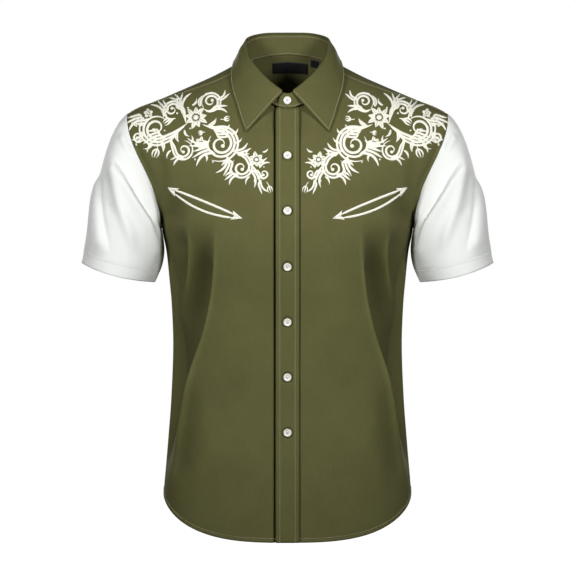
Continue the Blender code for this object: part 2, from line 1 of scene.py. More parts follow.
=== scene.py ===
"""Short-sleeved western shirt: olive body, white sleeves, embroidered chest and smile pockets.

Laid out as an add-on and run as a script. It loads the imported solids, sews a fine cloth shell on
the form of each one, lays the trims, stitches and embroidery on the cloth, and sets up a plain
studio. Sizes in the tables are millimetres and become metres where a mesh is made.
"""

import math
from collections import namedtuple

import bmesh
import bpy
import numpy as np
from bpy.props import FloatProperty, FloatVectorProperty, PointerProperty
from mathutils import Matrix, Vector


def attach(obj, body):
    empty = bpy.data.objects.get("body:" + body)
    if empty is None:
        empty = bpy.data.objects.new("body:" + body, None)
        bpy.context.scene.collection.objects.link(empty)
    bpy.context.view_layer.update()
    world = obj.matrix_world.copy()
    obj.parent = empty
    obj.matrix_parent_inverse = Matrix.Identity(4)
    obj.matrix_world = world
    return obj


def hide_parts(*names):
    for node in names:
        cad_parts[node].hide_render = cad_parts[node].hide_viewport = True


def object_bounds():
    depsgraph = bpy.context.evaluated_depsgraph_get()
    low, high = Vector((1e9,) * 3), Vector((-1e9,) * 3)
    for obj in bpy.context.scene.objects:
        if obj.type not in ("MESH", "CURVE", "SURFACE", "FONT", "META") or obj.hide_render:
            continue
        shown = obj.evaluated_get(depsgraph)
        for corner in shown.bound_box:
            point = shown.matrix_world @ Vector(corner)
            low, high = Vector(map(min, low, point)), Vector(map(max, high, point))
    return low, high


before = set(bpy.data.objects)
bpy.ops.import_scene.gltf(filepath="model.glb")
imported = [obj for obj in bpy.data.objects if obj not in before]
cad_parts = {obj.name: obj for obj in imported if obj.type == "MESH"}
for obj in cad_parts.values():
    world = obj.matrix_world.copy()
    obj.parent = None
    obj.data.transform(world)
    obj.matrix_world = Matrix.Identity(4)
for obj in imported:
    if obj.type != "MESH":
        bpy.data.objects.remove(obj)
CAD_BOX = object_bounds()

bl_info = {
    "name": "Western Shirt",
    "version": (1, 0, 0),
    "blender": (4, 5, 0),
    "location": "3D View > Sidebar > Shirt",
    "description": "Builds a short-sleeved western shirt, filled out as worn",
    "category": "Object",
}

MM = 0.001
FRONT = -1
BACK = 1
RIGHT = -1
LEFT = 1
SIDES = ((RIGHT, "right"), (LEFT, "left"))

# The filled-out form, mm
GAP = 0.4  # between pieces sewn edge to edge
SEAM_SHARE = 0.00004  # trimmed off a panel's outer edge, as a share of its width
SEAM_LAP = 0.15  # how far each panel's edge is carried past its side seam, mm
SEAM_RISE = 0.0045  # trimmed off its top edge, as a share of its height
CLOTH = 0.9  # wall of body and sleeve cloth
DOUBLED = 1.4  # wall of the interlined collar and the placket
PIT_HEIGHT = -232.0
SHOULDER_HEIGHT = -61.0
ARMHOLE_DEPTH = 58.0
CHEST_FRONT = 128.0
CHEST_BACK = 110.0
CHEST_TURN = 63.0  # degrees round a chest ring, from its centre to the armhole,
CHEST_TURN_RISE = 0.35  # and the rise by which it is reached, from 90 at the underarm
FRONT_SPREAD = 200.0  # roughly, from a front's centre round to its side, mm
STEP = 0.01  # between the points that directions are worked out from
HIGHEST_NORMAL = 0.97
RING_SQUARENESS = 0.86
ARMHOLE_FULLNESS = (2.4, 1.0)
FULLNESS_RISE = 0.3
UNDERARM_RISE = 0.14  # up to here, the armhole's depth fades in, away from its seam
HEM_SIDE = -625.0
HEM_DROP = {FRONT: 64.9, BACK: 71.0}
HEM_CURVE = (3.2, 0.62)
SHOULDER_ROLL_FRONT = (0.9, 0.5)  # roundness towards the shoulder: at the neck, and outside,
SHOULDER_ROLL_ACROSS = (0.1, 0.6)  # changing between these
SHOULDER_ROLL_BACK = 0.47
NECK_ACROSS = 0.245
NECK_FRONT_RISE = 0.601
NECK_FRONT_CURVE = (1.9, 0.55)
NECK_BACK_RISE = 0.923
NECK_BACK_CURVE = (2.5, 0.8)
NECK_ROOT = 286.0
YOKE_BACK_HEIGHT = -92.0
YOKE_FRONT_RISE = (0.935, 0.992)
YOKE_FRONT_ACROSS = (0.3, 1.0)  # the seam climbs between these, in front
PLACKET_WIDTH = 33.0
FRONT_START = {RIGHT: -0.048, LEFT: 0.052}  # its edge: the right front laps past the centre

SLEEVE_GAP = 0.7
CUFF_OUTER = np.array((309.0, 0.0, -284.0))
CUFF_INNER = np.array((198.5, 0.0, -314.0))
CUFF_HALF_DEPTH = 72.0
CUFF_DIP = 6.0
CUFF_AXIS = np.array((0.25, 0.0, -0.968))
CUFF_AXIS_INNER = np.array((0.70, 0.0, -1.38))
HEAD_TOP = np.array((0.80, 0.0, -0.60))
HEAD_BOTTOM = np.array((-0.2, 0.0, -1.0))
HEAD_SIDE = (0.3, 0.45, 0.1)
HEAD_REACH = (0.9, 0.6)

STAND_LAP = 2.0
LEAF_BELLY = 1.6
LEAF_WAVE = 0.5
RIDGE_LIFT = 1.2
RIDGE_REACH = 0.09

Ring = namedtuple("Ring", "height half_width front back")
BODY_RINGS = (
    Ring(-700, 187.5, 118, 110), Ring(-639, 186.0, 116, 108), Ring(-550, 179.0, 111, 101),
    Ring(-490, 174.5, 107, 95), Ring(-410, 171.5, 106, 90), Ring(-350, 173.5, 111, 94),
    Ring(-310, 177.0, 119, 100), Ring(-267, 181.5, 126, 107),
    Ring(-232, 188.0, CHEST_FRONT, CHEST_BACK),
    Ring(-197, 186.0, 126, 107),  # above the underarm, only to carry the slope through it
)
Seam = namedtuple("Seam", "rise half_width")
ARMHOLE = (
    Seam(0.00, 188.0), Seam(0.15, 189.5), Seam(0.30, 196.0), Seam(0.45, 206.5),
    Seam(0.60, 219.0), Seam(0.75, 230.0), Seam(0.90, 237.0), Seam(1.00, 239.0),
)
Slope = namedtuple("Slope", "half_width height")
SHOULDER = (
    Slope(0, 54), Slope(25, 50), Slope(50, 37), Slope(72, 17.5), Slope(103, -0.5),
    Slope(142, -18.5), Slope(184, -36.8), Slope(222, -52), Slope(239, SHOULDER_HEIGHT),
)
# around: degrees from the centre front. fold: top of the stand, where the leaf turns over.
# edge: the leaf's lower edge, by its place on the body; a rise over 1 is behind the shoulder.
Station = namedtuple("Station", "around fold_x fold_y fold_z edge_across edge_rise")
COLLAR = (
    Station(0, 0.0, -85.0, -39.0, 0.225, 0.510),
    Station(6, 6.8, -84.5, -37.0, 0.230, 0.530),
    Station(20, 22.0, -79.0, -25.0, 0.250, 0.620),
    Station(39, 39.0, -66.0, -8.0, 0.266, 0.720),
    Station(58, 54.0, -46.0, 12.4, 0.285, 0.830),
    Station(75, 60.8, -26.0, 29.6, 0.288, 0.925),
    Station(92, 61.4, -4.0, 44.5, 0.271, 1.000),
    Station(118, 55.8, 20.0, 54.6, 0.244, 1.035),
    Station(148, 34.5, 39.0, 62.0, 0.165, 1.075),
    Station(180, 0.0, 44.0, 63.4, 0.000, 1.105),
)

# Creases in the cloth. Each runs along a path of (distance from the centre, height). A fold is
# a sharp lip with the cloth falling away on one side of it, +1 outward or -1 inward; a dent is
# the same on both sides, and swells instead where its depth is negative. It fades in over the
# first share of its length and out over the last.
Crease = namedtuple("Crease", "kind path width depth lip side fade_in fade_out")


def fold(path, width, depth, lip=0.4, side=1, fade_in=0.2, fade_out=0.3):
    return Crease("fold", path, width, depth, lip, side, fade_in, fade_out)


def dent(path, width, depth, fade_in=0.3, fade_out=0.3):
    return Crease("dent", path, width, depth, 0.0, 1, fade_in, fade_out)


CREASES = {
    (FRONT, RIGHT): (
        fold(((103, -222), (105, -250), (108, -299), (114, -347), (124, -391), (138, -430),
              (149, -468), (158, -508), (167, -560), (175, -616)), 21, 25.0, 1.8, 1, 0.24, 0.50),
        dent(((118, -250), (128, -310), (143, -362), (156, -420)), 16, 8.0, 0.4, 0.4),
        fold(((147, -230), (148, -262), (158, -315), (168, -364)), 10, 11.0, 3.2, 1, 0.3, 0.5),
        dent(((131, -412), (146, -462), (157, -512), (167, -572), (175, -624)), 5, -1.6, 0.3,
             0.15),
        dent(((136, -455), (150, -528), (160, -622)), 17, 3.4, 0.35, 0.3),
        dent(((165, -180), (170, -225), (167, -275)), 15, 5.5, 0.35, 0.4),
        dent(((187, -120), (183, -158), (180, -200)), 9, 2.5),
        dent(((168, -480), (176, -540), (180, -600)), 8, 2.5),
        dent(((60, -330), (72, -380), (80, -430)), 26, -1.0),
        dent(((40, -520), (90, -545), (140, -560)), 30, -1.2),
        dent(((50, -450), (85, -475), (120, -505)), 24, 1.0),
    ),
    (FRONT, LEFT): (
        fold(((107, -220), (108, -252), (112, -302), (118, -349), (129, -393), (142, -432),
              (152, -470), (160, -510), (169, -562), (176, -618)), 21, 24.0, 1.8, 1, 0.24, 0.50),
        dent(((122, -248), (132, -310), (147, -364), (159, -422)), 16, 7.6, 0.4, 0.4),
        fold(((150, -234), (151, -268), (161, -318), (170, -362)), 10, 10.0, 3.2, 1, 0.3, 0.5),
        dent(((136, -414), (150, -466), (160, -514), (169, -576), (176, -622)), 5, -1.5, 0.3,
             0.15),
        dent(((139, -459), (152, -532), (162, -624)), 17, 3.2, 0.35, 0.3),
        dent(((167, -184), (171, -228), (168, -272)), 15, 5.5, 0.35, 0.4),
        dent(((187, -125), (183, -160), (181, -202)), 9, 2.5),
        dent(((171, -486), (178, -542), (182, -598)), 8, 2.5),
        dent(((64, -300), (70, -350), (82, -395)), 26, -1.0),
        dent(((46, -500), (95, -530), (146, -545)), 30, -1.2),
        dent(((42, -420), (78, -448), (118, -470)), 24, 1.0),
    ),
    (BACK, RIGHT): (
        fold(((92, -205), (98, -260), (110, -318), (128, -372), (146, -420), (158, -470),
              (166, -520)), 18, 7.0, 0.8, 1, 0.12, 0.5),
        dent(((104, -210), (117, -270), (134, -330)), 15, 3.6),
        fold(((134, -238), (139, -280), (149, -322)), 11, 4.2, 0.6, 1, 0.3, 0.4),
        dent(((183, -110), (178, -160), (170, -215)), 12, 3.2),
        dent(((20, -330), (52, -352), (88, -360)), 13, 2.2),
        dent(((18, -372), (48, -388), (78, -400)), 12, 1.6),
        dent(((30, -440), (60, -520), (84, -610)), 26, -1.8),
    ),
    (BACK, LEFT): (
        fold(((96, -200), (101, -256), (113, -312), (131, -368), (149, -418), (160, -466),
              (168, -516)), 18, 7.0, 0.8, 1, 0.12, 0.5),
        dent(((108, -206), (120, -266), (137, -326)), 15, 3.6),
        fold(((137, -244), (142, -286), (151, -330)), 11, 4.2, 0.6, 1, 0.3, 0.4),
        dent(((183, -114), (177, -164), (171, -214)), 12, 3.2),
        dent(((12, -346), (46, -340), (80, -346)), 13, 2.0),
        dent(((22, -396), (56, -382), (86, -386)), 12, 1.7),
        dent(((24, -450), (50, -530), (78, -612)), 26, -1.8),
    ),
}
SLEEVE_CREASES = {
    FRONT: (
        fold(((256, -129), (237, -160), (219, -192), (205, -217), (194, -248), (189, -280)), 7,
             7.0, 1.2, 1, 0.14, 0.4),
        dent(((262, -118), (255, -156), (249, -190), (240, -220), (231, -247), (224, -276)), 8.0,
             5.4, 0.2, 0.25),
        fold(((280, -140), (278, -172), (274, -206), (268, -240), (260, -276)), 11, 6.6, 0.8, 1,
             0.2, 0.2),
        dent(((249, -92), (240, -108), (229, -124)), 6, 3.4),
        dent(((270, -150), (265, -190), (257, -226)), 8, -2.0),
        dent(((243, -140), (226, -172), (212, -200)), 7, -1.8),
        dent(((208, -200), (200, -228), (194, -262), (192, -292)), 8, 4.0, 0.3, 0.3),
    ),
    BACK: (
        fold(((250, -126), (236, -160), (222, -196), (206, -236)), 8, 6.4, 1.0, 1, 0.15, 0.2),
        dent(((266, -122), (258, -166), (246, -214), (236, -262)), 8, 5.0),
        fold(((281, -150), (278, -190), (270, -236)), 11, 5.4, 0.6, 1, 0.25, 0.3),
        dent(((243, -88), (233, -110), (222, -130)), 8, 2.4),
        fold(((200, -190), (195, -214), (192, -236)), 8, 4.0, 0.5, -1),
    ),
}
SIDE_FADE = 0.90  # creases fade from here, as a share, to the side seam and armhole
HEM_BAND = 4.2  # turned-up hem: height, and how far it stands proud
HEM_RAISE = 0.45
CUFF_BAND = 20.0


# Reading tables and shaping numbers

def hermite(start, leaving, end, arriving, t):
    """A cubic curve between two points, with its slope at each."""
    t2 = t * t
    t3 = t2 * t
    return (start * (2 * t3 - 3 * t2 + 1) + leaving * (t3 - 2 * t2 + t)
            + end * (3 * t2 - 2 * t3) + arriving * (t3 - t2))


def smooth(rows, key, value, at):
    """Read one column of a table along another, on a smooth curve through its rows."""
    keys = np.array([getattr(row, key) for row in rows], dtype=float)
    values = np.array([getattr(row, value) for row in rows], dtype=float)
    order = np.arange(len(rows))
    low = np.maximum(order - 1, 0)
    high = np.minimum(order + 1, len(rows) - 1)
    slopes = (values[high] - values[low]) / (keys[high] - keys[low])
    i = np.clip(np.searchsorted(keys, at) - 1, 0, len(rows) - 2)
    span = keys[i + 1] - keys[i]
    return hermite(values[i], span * slopes[i], values[i + 1], span * slopes[i + 1],
                   (at - keys[i]) / span)


def ease(low, high, at):
    t = np.clip((at - low) / (high - low), 0.0, 1.0)
    return t * t * (3 - 2 * t)


def blend(a, b, t):
    return a + (b - a) * t


def unit(vectors):
    return vectors / np.maximum(np.linalg.norm(vectors, axis=-1, keepdims=True), 1e-9)


def bell(at, middle, width):
    """1 at the middle, falling smoothly away on both sides."""
    return np.exp(-((at - middle) / width) ** 2)


def run_along(points, axis=0):
    """Distance run along lines of points, from the first of each."""
    run = np.cumsum(np.linalg.norm(np.diff(points, axis=axis), axis=-1), axis=axis)
    return np.concatenate([np.zeros_like(run.take([0], axis=axis)), run], axis=axis)


def quarter_turn(vectors):
    return np.stack([-vectors[..., 1], vectors[..., 0]], axis=-1)


def curve_through(points, count):
    """Evenly spaced points on a smooth curve through a few given ones."""
    points = np.asarray(points, dtype=float)
    ends = (2 * points[0] - points[1], 2 * points[-1] - points[-2])
    held = np.vstack([ends[0], points, ends[1]])
    fine = []
    for i in range(1, len(held) - 2):
        p0, p1, p2, p3 = held[i - 1:i + 3]
        for t in np.linspace(0, 1, 12, endpoint=False):
            fine.append(0.5 * (2 * p1 + (p2 - p0) * t + (2 * p0 - 5 * p1 + 4 * p2 - p3) * t ** 2
                               + (3 * p1 - p0 - 3 * p2 + p3) * t ** 3))
    fine.append(points[-1])
    fine = np.array(fine)
    run = run_along(fine)
    at = np.linspace(0, run[-1], count)
    return np.stack([np.interp(at, run, fine[:, k]) for k in range(fine.shape[1])], axis=1)


# The body's surface. across runs from 0 at the centre to 1 at the side seam and armhole, with
# the sign of x. rise runs from -1 at the hem through 0 at the underarm to 1 on the shoulder.

def ring_turn(rise):
    """Angle, in radians, that a ring turns between the centre and its outer edge."""
    return np.radians(blend(90.0, CHEST_TURN, ease(0.0, CHEST_TURN_RISE, rise)))


def shoulder_height(across):
    turn = ring_turn(1.0)
    x = ARMHOLE[-1].half_width * np.sin(np.abs(across) * turn) / np.sin(turn)
    return smooth(SHOULDER, "half_width", "height", np.minimum(x, SHOULDER[-1].half_width))


def hem_height(face, across):
    inner, outer = HEM_CURVE
    inward = 1.0 - np.abs(np.sin(across * math.pi / 2)) ** inner
    return HEM_SIDE - HEM_DROP[face] * np.maximum(inward, 0.0) ** outer


def body_height(face, across, rise):
    below = blend(PIT_HEIGHT, hem_height(face, across), -rise)
    above = blend(PIT_HEIGHT, shoulder_height(across), rise)
    return np.where(rise <= 0.0, below, above)


def half_width_at(rise, z):
    return np.where(rise <= 0.0,
                    smooth(BODY_RINGS, "height", "half_width", np.minimum(z, PIT_HEIGHT)),
                    smooth(ARMHOLE, "rise", "half_width", np.clip(rise, 0.0, 1.0)))


def body_form(face, across, rise):
    """Points of the smooth form, before any crease."""
    across = np.asarray(across, dtype=float)
    rise = np.asarray(rise, dtype=float)
    z = body_height(face, across, rise)
    turn = ring_turn(rise)
    up = np.clip(rise, 0.0, 1.0)
    low_centre = smooth(BODY_RINGS, "height", "front" if face == FRONT else "back",
                        np.minimum(z, PIT_HEIGHT))
    roll = SHOULDER_ROLL_BACK
    if face == FRONT:
        roll = blend(*SHOULDER_ROLL_FRONT, ease(*SHOULDER_ROLL_ACROSS, np.abs(across)))
    high_centre = (CHEST_FRONT if face == FRONT else CHEST_BACK) * (1.0 - up * up) ** roll
    below = rise <= 0.0
    centre = np.where(below, low_centre, high_centre)
    edge = np.where(below, 0.0, ARMHOLE_DEPTH * np.sqrt(4 * up * (1 - up)))
    x = half_width_at(rise, z) * np.sin(across * turn) / np.sin(turn)
    inward = (np.cos(across * turn) - np.cos(turn)) / (1 - np.cos(turn))
    share = np.maximum(inward, 0.0) ** RING_SQUARENESS
    kept = blend(*ARMHOLE_FULLNESS, ease(0.0, FULLNESS_RISE, rise))
    by_seam = (1.0 - share) ** 6
    fading = blend(ease(0.0, UNDERARM_RISE, rise), 1.0, by_seam)
    y = centre * share + edge * (1.0 - share) ** kept * fading
    return np.stack([x, face * y, z], axis=-1)


def body_normal(face, across, rise):
    """Outward directions on the form, held level with HIGHEST_NORMAL above it."""
    across = np.asarray(across, dtype=float)
    low = np.maximum(rise - STEP, -1.0)
    high = np.minimum(rise + STEP, HIGHEST_NORMAL)
    low = np.where(high <= low, high - STEP, low)
    sideways = body_form(face, np.minimum(across + STEP, 1.0), rise) \
        - body_form(face, np.maximum(across - STEP, -1.0), rise)
    upward = body_form(face, across, high) - body_form(face, across, low)
    return unit(np.cross(sideways, upward) * -face)


def body_place(face, x, z):
    """Across and rise of the surface points at given x and heights."""
    x = np.asarray(x, dtype=float)
    z = np.asarray(z, dtype=float)
    across = x / FRONT_SPREAD
    rise = np.zeros_like(x)
    for _ in range(25):
        rise = np.where(z <= PIT_HEIGHT,
                        (z - PIT_HEIGHT) / (PIT_HEIGHT - hem_height(face, across)),
                        (z - PIT_HEIGHT) / (shoulder_height(across) - PIT_HEIGHT))
        turn = ring_turn(rise)
        sine = x * np.sin(turn) / half_width_at(rise, z)
        across = np.arcsin(np.clip(sine, -1.0, 1.0)) / turn
    return across, rise


def across_at(face, x, rise):
    """Across of the surface points at a given x and rises."""
    rise = np.asarray(rise, dtype=float)
    across = np.full_like(rise, x / FRONT_SPREAD)
    turn = ring_turn(rise)
    for _ in range(4):
        sine = x * np.sin(turn) / half_width_at(rise, body_height(face, across, rise))
        across = np.arcsin(np.clip(sine, -1.0, 1.0)) / turn
    return across


# Creases and hems, as heights off the form

def along_path(path, u, z):
    """Signed distance from a path, and the share of the way along it, for many points."""
    line = curve_through(path, 28)
    here = np.stack([u, z], axis=-1)
    best = np.full(u.shape, 1e9)
    signed = np.zeros(u.shape)
    share = np.zeros(u.shape)
    last = len(line) - 2
    for i, (a, b) in enumerate(zip(line, line[1:])):
        ahead = b - a
        length = np.linalg.norm(ahead)
        t = ((here - a) @ ahead) / length ** 2
        held = np.clip(t, 0.0 if i else None, 1.0 if i < last else None)
        off = here - a - held[..., None] * ahead
        distance = np.linalg.norm(off, axis=-1)
        nearer = distance < best
        best = np.where(nearer, distance, best)
        out = (off[..., 0] * -ahead[1] + off[..., 1] * ahead[0]) / length
        signed = np.where(nearer, out, signed)
        share = np.where(nearer, (i + t) / (last + 1), share)
    return signed, share


FOLD_START = 1.45  # over 1, so that the cloth leaves a fold's lip gently
LIP_WIDTH = 0.2  # of a fold's width
LIP_NARROWEST = 3.4
# Crease lips wear paler, partly as rubbing and partly as painted highlight; their hollows get
# painted shade, in full at DEEPEST.
LIP_WEAR_AND_HIGHLIGHT = 0.9
DEEPEST = 24.0  # depth of a fold whose hollow counts in full
CREASE_CLEAR = 24.0  # creases fade in over this width from the centre
LONG_WAVES = 0.35
SHORT_WAVES = 0.22
WAVES_FADE = (-40.0, 20.0)  # how far below the neck's level they fade in


def crease_shape(crease, u, z):
    """A crease's lip and its hollow, each as a share of the full one."""
    off, share = along_path(crease.path, u, z)
    fade = ease(0.0, crease.fade_in, share) * (1.0 - ease(1.0 - crease.fade_out, 1.0, share))
    if crease.kind == "dent":
        return np.zeros_like(off), bell(off, 0.0, crease.width) * fade
    fall = np.maximum(off / crease.width * crease.side, 0.0)
    trough = (fall * np.exp(1.0 - fall)) ** FOLD_START
    lip = bell(off, 0.0, max(LIP_WIDTH * crease.width, LIP_NARROWEST))
    return lip * fade, trough * fade


def crease_depth(crease, u, z):
    lip, hollow = crease_shape(crease, u, z)
    return crease.lip * lip - crease.depth * hollow


def rubbed_and_shaded(creases, u, z):
    """How much the cloth wears and is shaded: over 0 along the lips, where it wears paler and gets
    a painted highlight, and under 0 in the hollows, which get painted shade."""
    total = np.zeros(u.shape)
    for crease in creases:
        lip, hollow = crease_shape(crease, u, z)
        total += LIP_WEAR_AND_HIGHLIGHT * lip * (crease.lip > 0) \
            - hollow * math.copysign(math.sqrt(abs(crease.depth) / DEEPEST), crease.depth)
    return np.clip(total, -1.0, 1.0)


def wear_and_shade_of(face, form, across):
    """How much a body panel wears paler, with painted highlight, on its creases' lips, and how
    much painted shade their hollows get, at each of its points.
    """
    x, z = form[..., 0], form[..., 2]
    total = sum(np.where(x * side > 0, rubbed_and_shaded(CREASES[face, side], np.abs(x), z), 0.0)
                for side in (RIGHT, LEFT))
    return total * unsewn(across)


def relief(face, form):
    """How far the cloth stands off the form, mm: creases, and a slight unevenness, in long
    waves and short ones, that dies out up by the neck."""
    x, z = form[..., 0], form[..., 2]
    u = np.abs(x)
    total = np.zeros(u.shape)
    for side in (RIGHT, LEFT):
        part = np.zeros(u.shape)
        for crease in CREASES[face, side]:
            part += crease_depth(crease, u, z)
        total += np.where(x * side > 0, part, 0.0) * ease(0.0, CREASE_CLEAR, u)
    uneven = LONG_WAVES * np.sin(x / 31.0 + z / 47.0 + face) * np.sin(z / 39.0 - x / 83.0)
    uneven += SHORT_WAVES * np.sin(x / 17.0 - z / 26.0) \
        * np.sin(z / 21.0 + x / 29.0 + 2.0 * face)
    return total + uneven * ease(*WAVES_FADE, -z)


def unsewn(across):
    """How free the cloth is to crease: wholly, but for the side seam and armhole."""
    return 1.0 - ease(SIDE_FADE, 1.0, np.abs(across))


def cloth_at(face, across, rise, out=0.0, share=1.0):
    """Points of the cloth, creased by a share, and moved out along the form's normal."""
    form = body_form(face, across, rise)
    height = relief(face, form) * share * unsewn(across) + out
    return form + body_normal(face, across, rise) * height[..., None]


def on_cloth(face, x, z, out=0.0):
    """Points of the creased cloth at given x and heights, moved out."""
    across, rise = body_place(face, x, z)
    return cloth_at(face, across, rise, out)


# Cut lines

def neck_rise(face, across):
    share = np.minimum(np.abs(across) / NECK_ACROSS, 1.0)
    inner, outer = NECK_FRONT_CURVE if face == FRONT else NECK_BACK_CURVE
    lowest = NECK_FRONT_RISE if face == FRONT else NECK_BACK_RISE
    return 1.0 - (1.0 - lowest) * (1.0 - share ** inner) ** outer


def neck_across(rise):
    inner, outer = NECK_FRONT_CURVE
    left = ((1.0 - rise) / (1.0 - NECK_FRONT_RISE)) ** (1 / outer)
    return NECK_ACROSS * (1.0 - left) ** (1 / inner)


def yoke_front_rise(across):
    return blend(*YOKE_FRONT_RISE, ease(*YOKE_FRONT_ACROSS, np.abs(across)))


def yoke_back_rise(across):
    return (YOKE_BACK_HEIGHT - PIT_HEIGHT) / (shoulder_height(across) - PIT_HEIGHT)


def trimmed(across):
    return np.clip(across, SEAM_SHARE - 1.0, 1.0 - SEAM_SHARE)


def lapped(rows, face, across):
    """A panel with its side edges carried a hair past the seam, so that no light shows through."""
    edge = np.abs(across) >= 1.0 - 1.5 * SEAM_SHARE
    rows[..., 1] += edge * (SEAM_LAP if face == FRONT else -SEAM_LAP)
    return rows


def front_top(across):
    corner = neck_across(yoke_front_rise(0.0))
    by_neck = np.minimum(neck_rise(FRONT, across), yoke_front_rise(0.0) - SEAM_RISE)
    return np.where(np.abs(across) <= corner, by_neck, yoke_front_rise(across) - SEAM_RISE)


# Materials

def linear(code):
    """A linear RGBA colour from an sRGB hex code."""
    parts = [int(code[i:i + 2], 16) / 255 for i in (1, 3, 5)]
    return tuple(p / 12.92 if p <= 0.04045 else ((p + 0.055) / 1.055) ** 2.4
                 for p in parts) + (1.0,)


def add_node(tree, kind, settings=None, inputs=None):
    """Add a node, set its properties, and set or link its inputs."""
    node = tree.nodes.new(kind)
    for name, value in (settings or {}).items():
        setattr(node, name, value)
    for key, value in (inputs or {}).items():
        if isinstance(value, bpy.types.NodeSocket):
            tree.links.new(value, node.inputs[key])
        else:
            node.inputs[key].default_value = value
    return node


def new_material(name):
    made = bpy.data.materials.new(name)
    made.use_nodes = True
    made.node_tree.nodes.clear()
    return made, made.node_tree


def finish_material(tree, inputs):
    shader = add_node(tree, "ShaderNodeBsdfPrincipled", inputs=inputs)
    add_node(tree, "ShaderNodeOutputMaterial", inputs={"Surface": shader.outputs[0]})


def cloth_uv(tree):
    return add_node(tree, "ShaderNodeUVMap", {"uv_map": "cloth"}).outputs["UV"]


def bands(tree, place, pitch, direction, distortion=0.0, detail=2.0, detail_scale=1.0):
    """Parallel bands that repeat at a pitch, in metres."""
    return add_node(tree, "ShaderNodeTexWave", {"bands_direction": direction},
                    {"Vector": place, "Scale": math.tau / 20.0 / pitch,
                     "Distortion": distortion, "Detail": detail,
                     "Detail Scale": detail_scale}).outputs["Fac"]


def noise(tree, place, scale, detail, roughness=0.5, distortion=0.0, dimensions="2D"):
    return add_node(tree, "ShaderNodeTexNoise", {"noise_dimensions": dimensions},
                    {"Vector": place, "Scale": scale, "Detail": detail,
                     "Roughness": roughness, "Distortion": distortion}).outputs["Fac"]


def sums(tree, operation, *values, clamp=False):
    return add_node(tree, "ShaderNodeMath", {"operation": operation, "use_clamp": clamp},
                    dict(enumerate(values))).outputs[0]


def mixed(tree, share, dark, light):
    return add_node(tree, "ShaderNodeMix", {"data_type": "RGBA"},
                    {0: share, 6: dark, 7: light}).outputs[2]


def bump(tree, height, strength, distance):
    return add_node(tree, "ShaderNodeBump", None, {
        "Strength": strength, "Distance": distance, "Height": height}).outputs[0]


# Change of tone: paler on the lips, partly rubbing and partly painted highlight, and darker with
# painted shade at a hollow's depth.
WEAR_AND_SHADE_TONE = 0.32  # change of tone from wholly rubbed to a hollow's depth


def poplin(tree, light, dark, thread_pitch, roughness, sheen, grain_strength):
    """Woven cotton poplin: warp and weft crossing over each other, which gives a dry, matte
    face with a faint thread grain, and slubs, thicker lengths of yarn, that mottle its colour.
    Along creases' lips it wears paler, partly from rubbing and partly as painted highlight, and in
    their hollows it is darkened with painted shade.
    The threads, really 0.3 mm apart, are drawn coarser so that they show."""
    uv = cloth_uv(tree)
    warp = bands(tree, uv, thread_pitch, "X", 0.6, detail_scale=2.0)
    weft = bands(tree, uv, thread_pitch, "Y", 0.6, detail_scale=2.0)
    longways = add_node(tree, "ShaderNodeMapping", None,
                        {"Vector": uv, "Scale": (420.0, 60.0, 1.0)})
    slub = noise(tree, longways.outputs[0], 1.0, 3.0, 0.55)
    cloud = noise(tree, uv, 26.0, 3.0)
    mottle = sums(tree, "MULTIPLY_ADD", cloud, 0.5, sums(tree, "MULTIPLY", slub, 0.55),
                  clamp=True)
    # An attribute per point: painted shade in the creases' hollows, and paler lips, partly rubbing
    # and partly painted highlight.
    wear = add_node(tree, "ShaderNodeAttribute", {"attribute_name": "wear"})
    tone = sums(tree, "MULTIPLY_ADD", wear.outputs["Fac"], WEAR_AND_SHADE_TONE, 1.0)
    worn_and_shaded = add_node(tree, "ShaderNodeVectorMath", {"operation": "SCALE"},
                    {0: mixed(tree, mottle, dark, light), "Scale": tone})
    grain = sums(tree, "MULTIPLY_ADD", slub, 0.6, sums(tree, "MULTIPLY", warp, weft))
    finish_material(tree, {
        "Base Color": worn_and_shaded.outputs[0], "Roughness": roughness, "Sheen Weight": sheen,
        "Sheen Roughness": 0.5, "Specular IOR Level": 0.16,
        "Normal": bump(tree, grain, grain_strength, 0.0002)})


def satin_thread(tree, light, dark):
    """Rayon embroidery thread laid side by side in satin stitch: fine ribs across the stroke,
    each catching the light along its length. Real ribs are 0.4 mm wide and are drawn coarser."""
    uv = cloth_uv(tree)
    ribs = bands(tree, uv, 0.0008, "X", 0.8, 1.0, 1.5)
    finish_material(tree, {
        "Base Color": mixed(tree, noise(tree, uv, 320.0, 2.0), dark, light),
        "Roughness": 0.42, "Sheen Weight": 0.25, "Sheen Roughness": 0.4,
        "Specular IOR Level": 0.5, "Normal": bump(tree, ribs, 0.5, 0.00025)})


def spun_thread(tree, colour):
    """Spun polyester sewing thread: two plies twisted, so each stitch has slanting ribs."""
    place = add_node(tree, "ShaderNodeTexCoord").outputs["Object"]
    ply = bands(tree, place, 0.0009, "DIAGONAL")
    finish_material(tree, {
        "Base Color": colour, "Roughness": 0.7, "Sheen Weight": 0.2,
        "Normal": bump(tree, ply, 0.4, 0.0001)})


def button_resin(tree, light, dark):
    """Cast polyester button resin, tumbled to a polish: glossy, faintly clouded like shell."""
    place = add_node(tree, "ShaderNodeTexCoord").outputs["Object"]
    cloud = noise(tree, place, 260.0, 3.0, distortion=1.5, dimensions="3D")
    polish = add_node(tree, "ShaderNodeMapRange", None,
                      {"Value": cloud, "To Min": 0.22, "To Max": 0.34})
    finish_material(tree, {
        "Base Color": mixed(tree, cloud, dark, light), "Roughness": polish.outputs[0],
        "IOR": 1.55, "Coat Weight": 0.25, "Coat Roughness": 0.12})


def label_weave(tree, light, dark):
    """Damask label cloth: black filament polyester, woven dense, with a low silky gloss."""
    rib = bands(tree, cloth_uv(tree), 0.0007, "DIAGONAL", 0.3)
    finish_material(tree, {
        "Base Color": mixed(tree, rib, dark, light), "Roughness": 0.5, "Sheen Weight": 0.1,
        "Normal": bump(tree, rib, 0.4, 0.0001)})


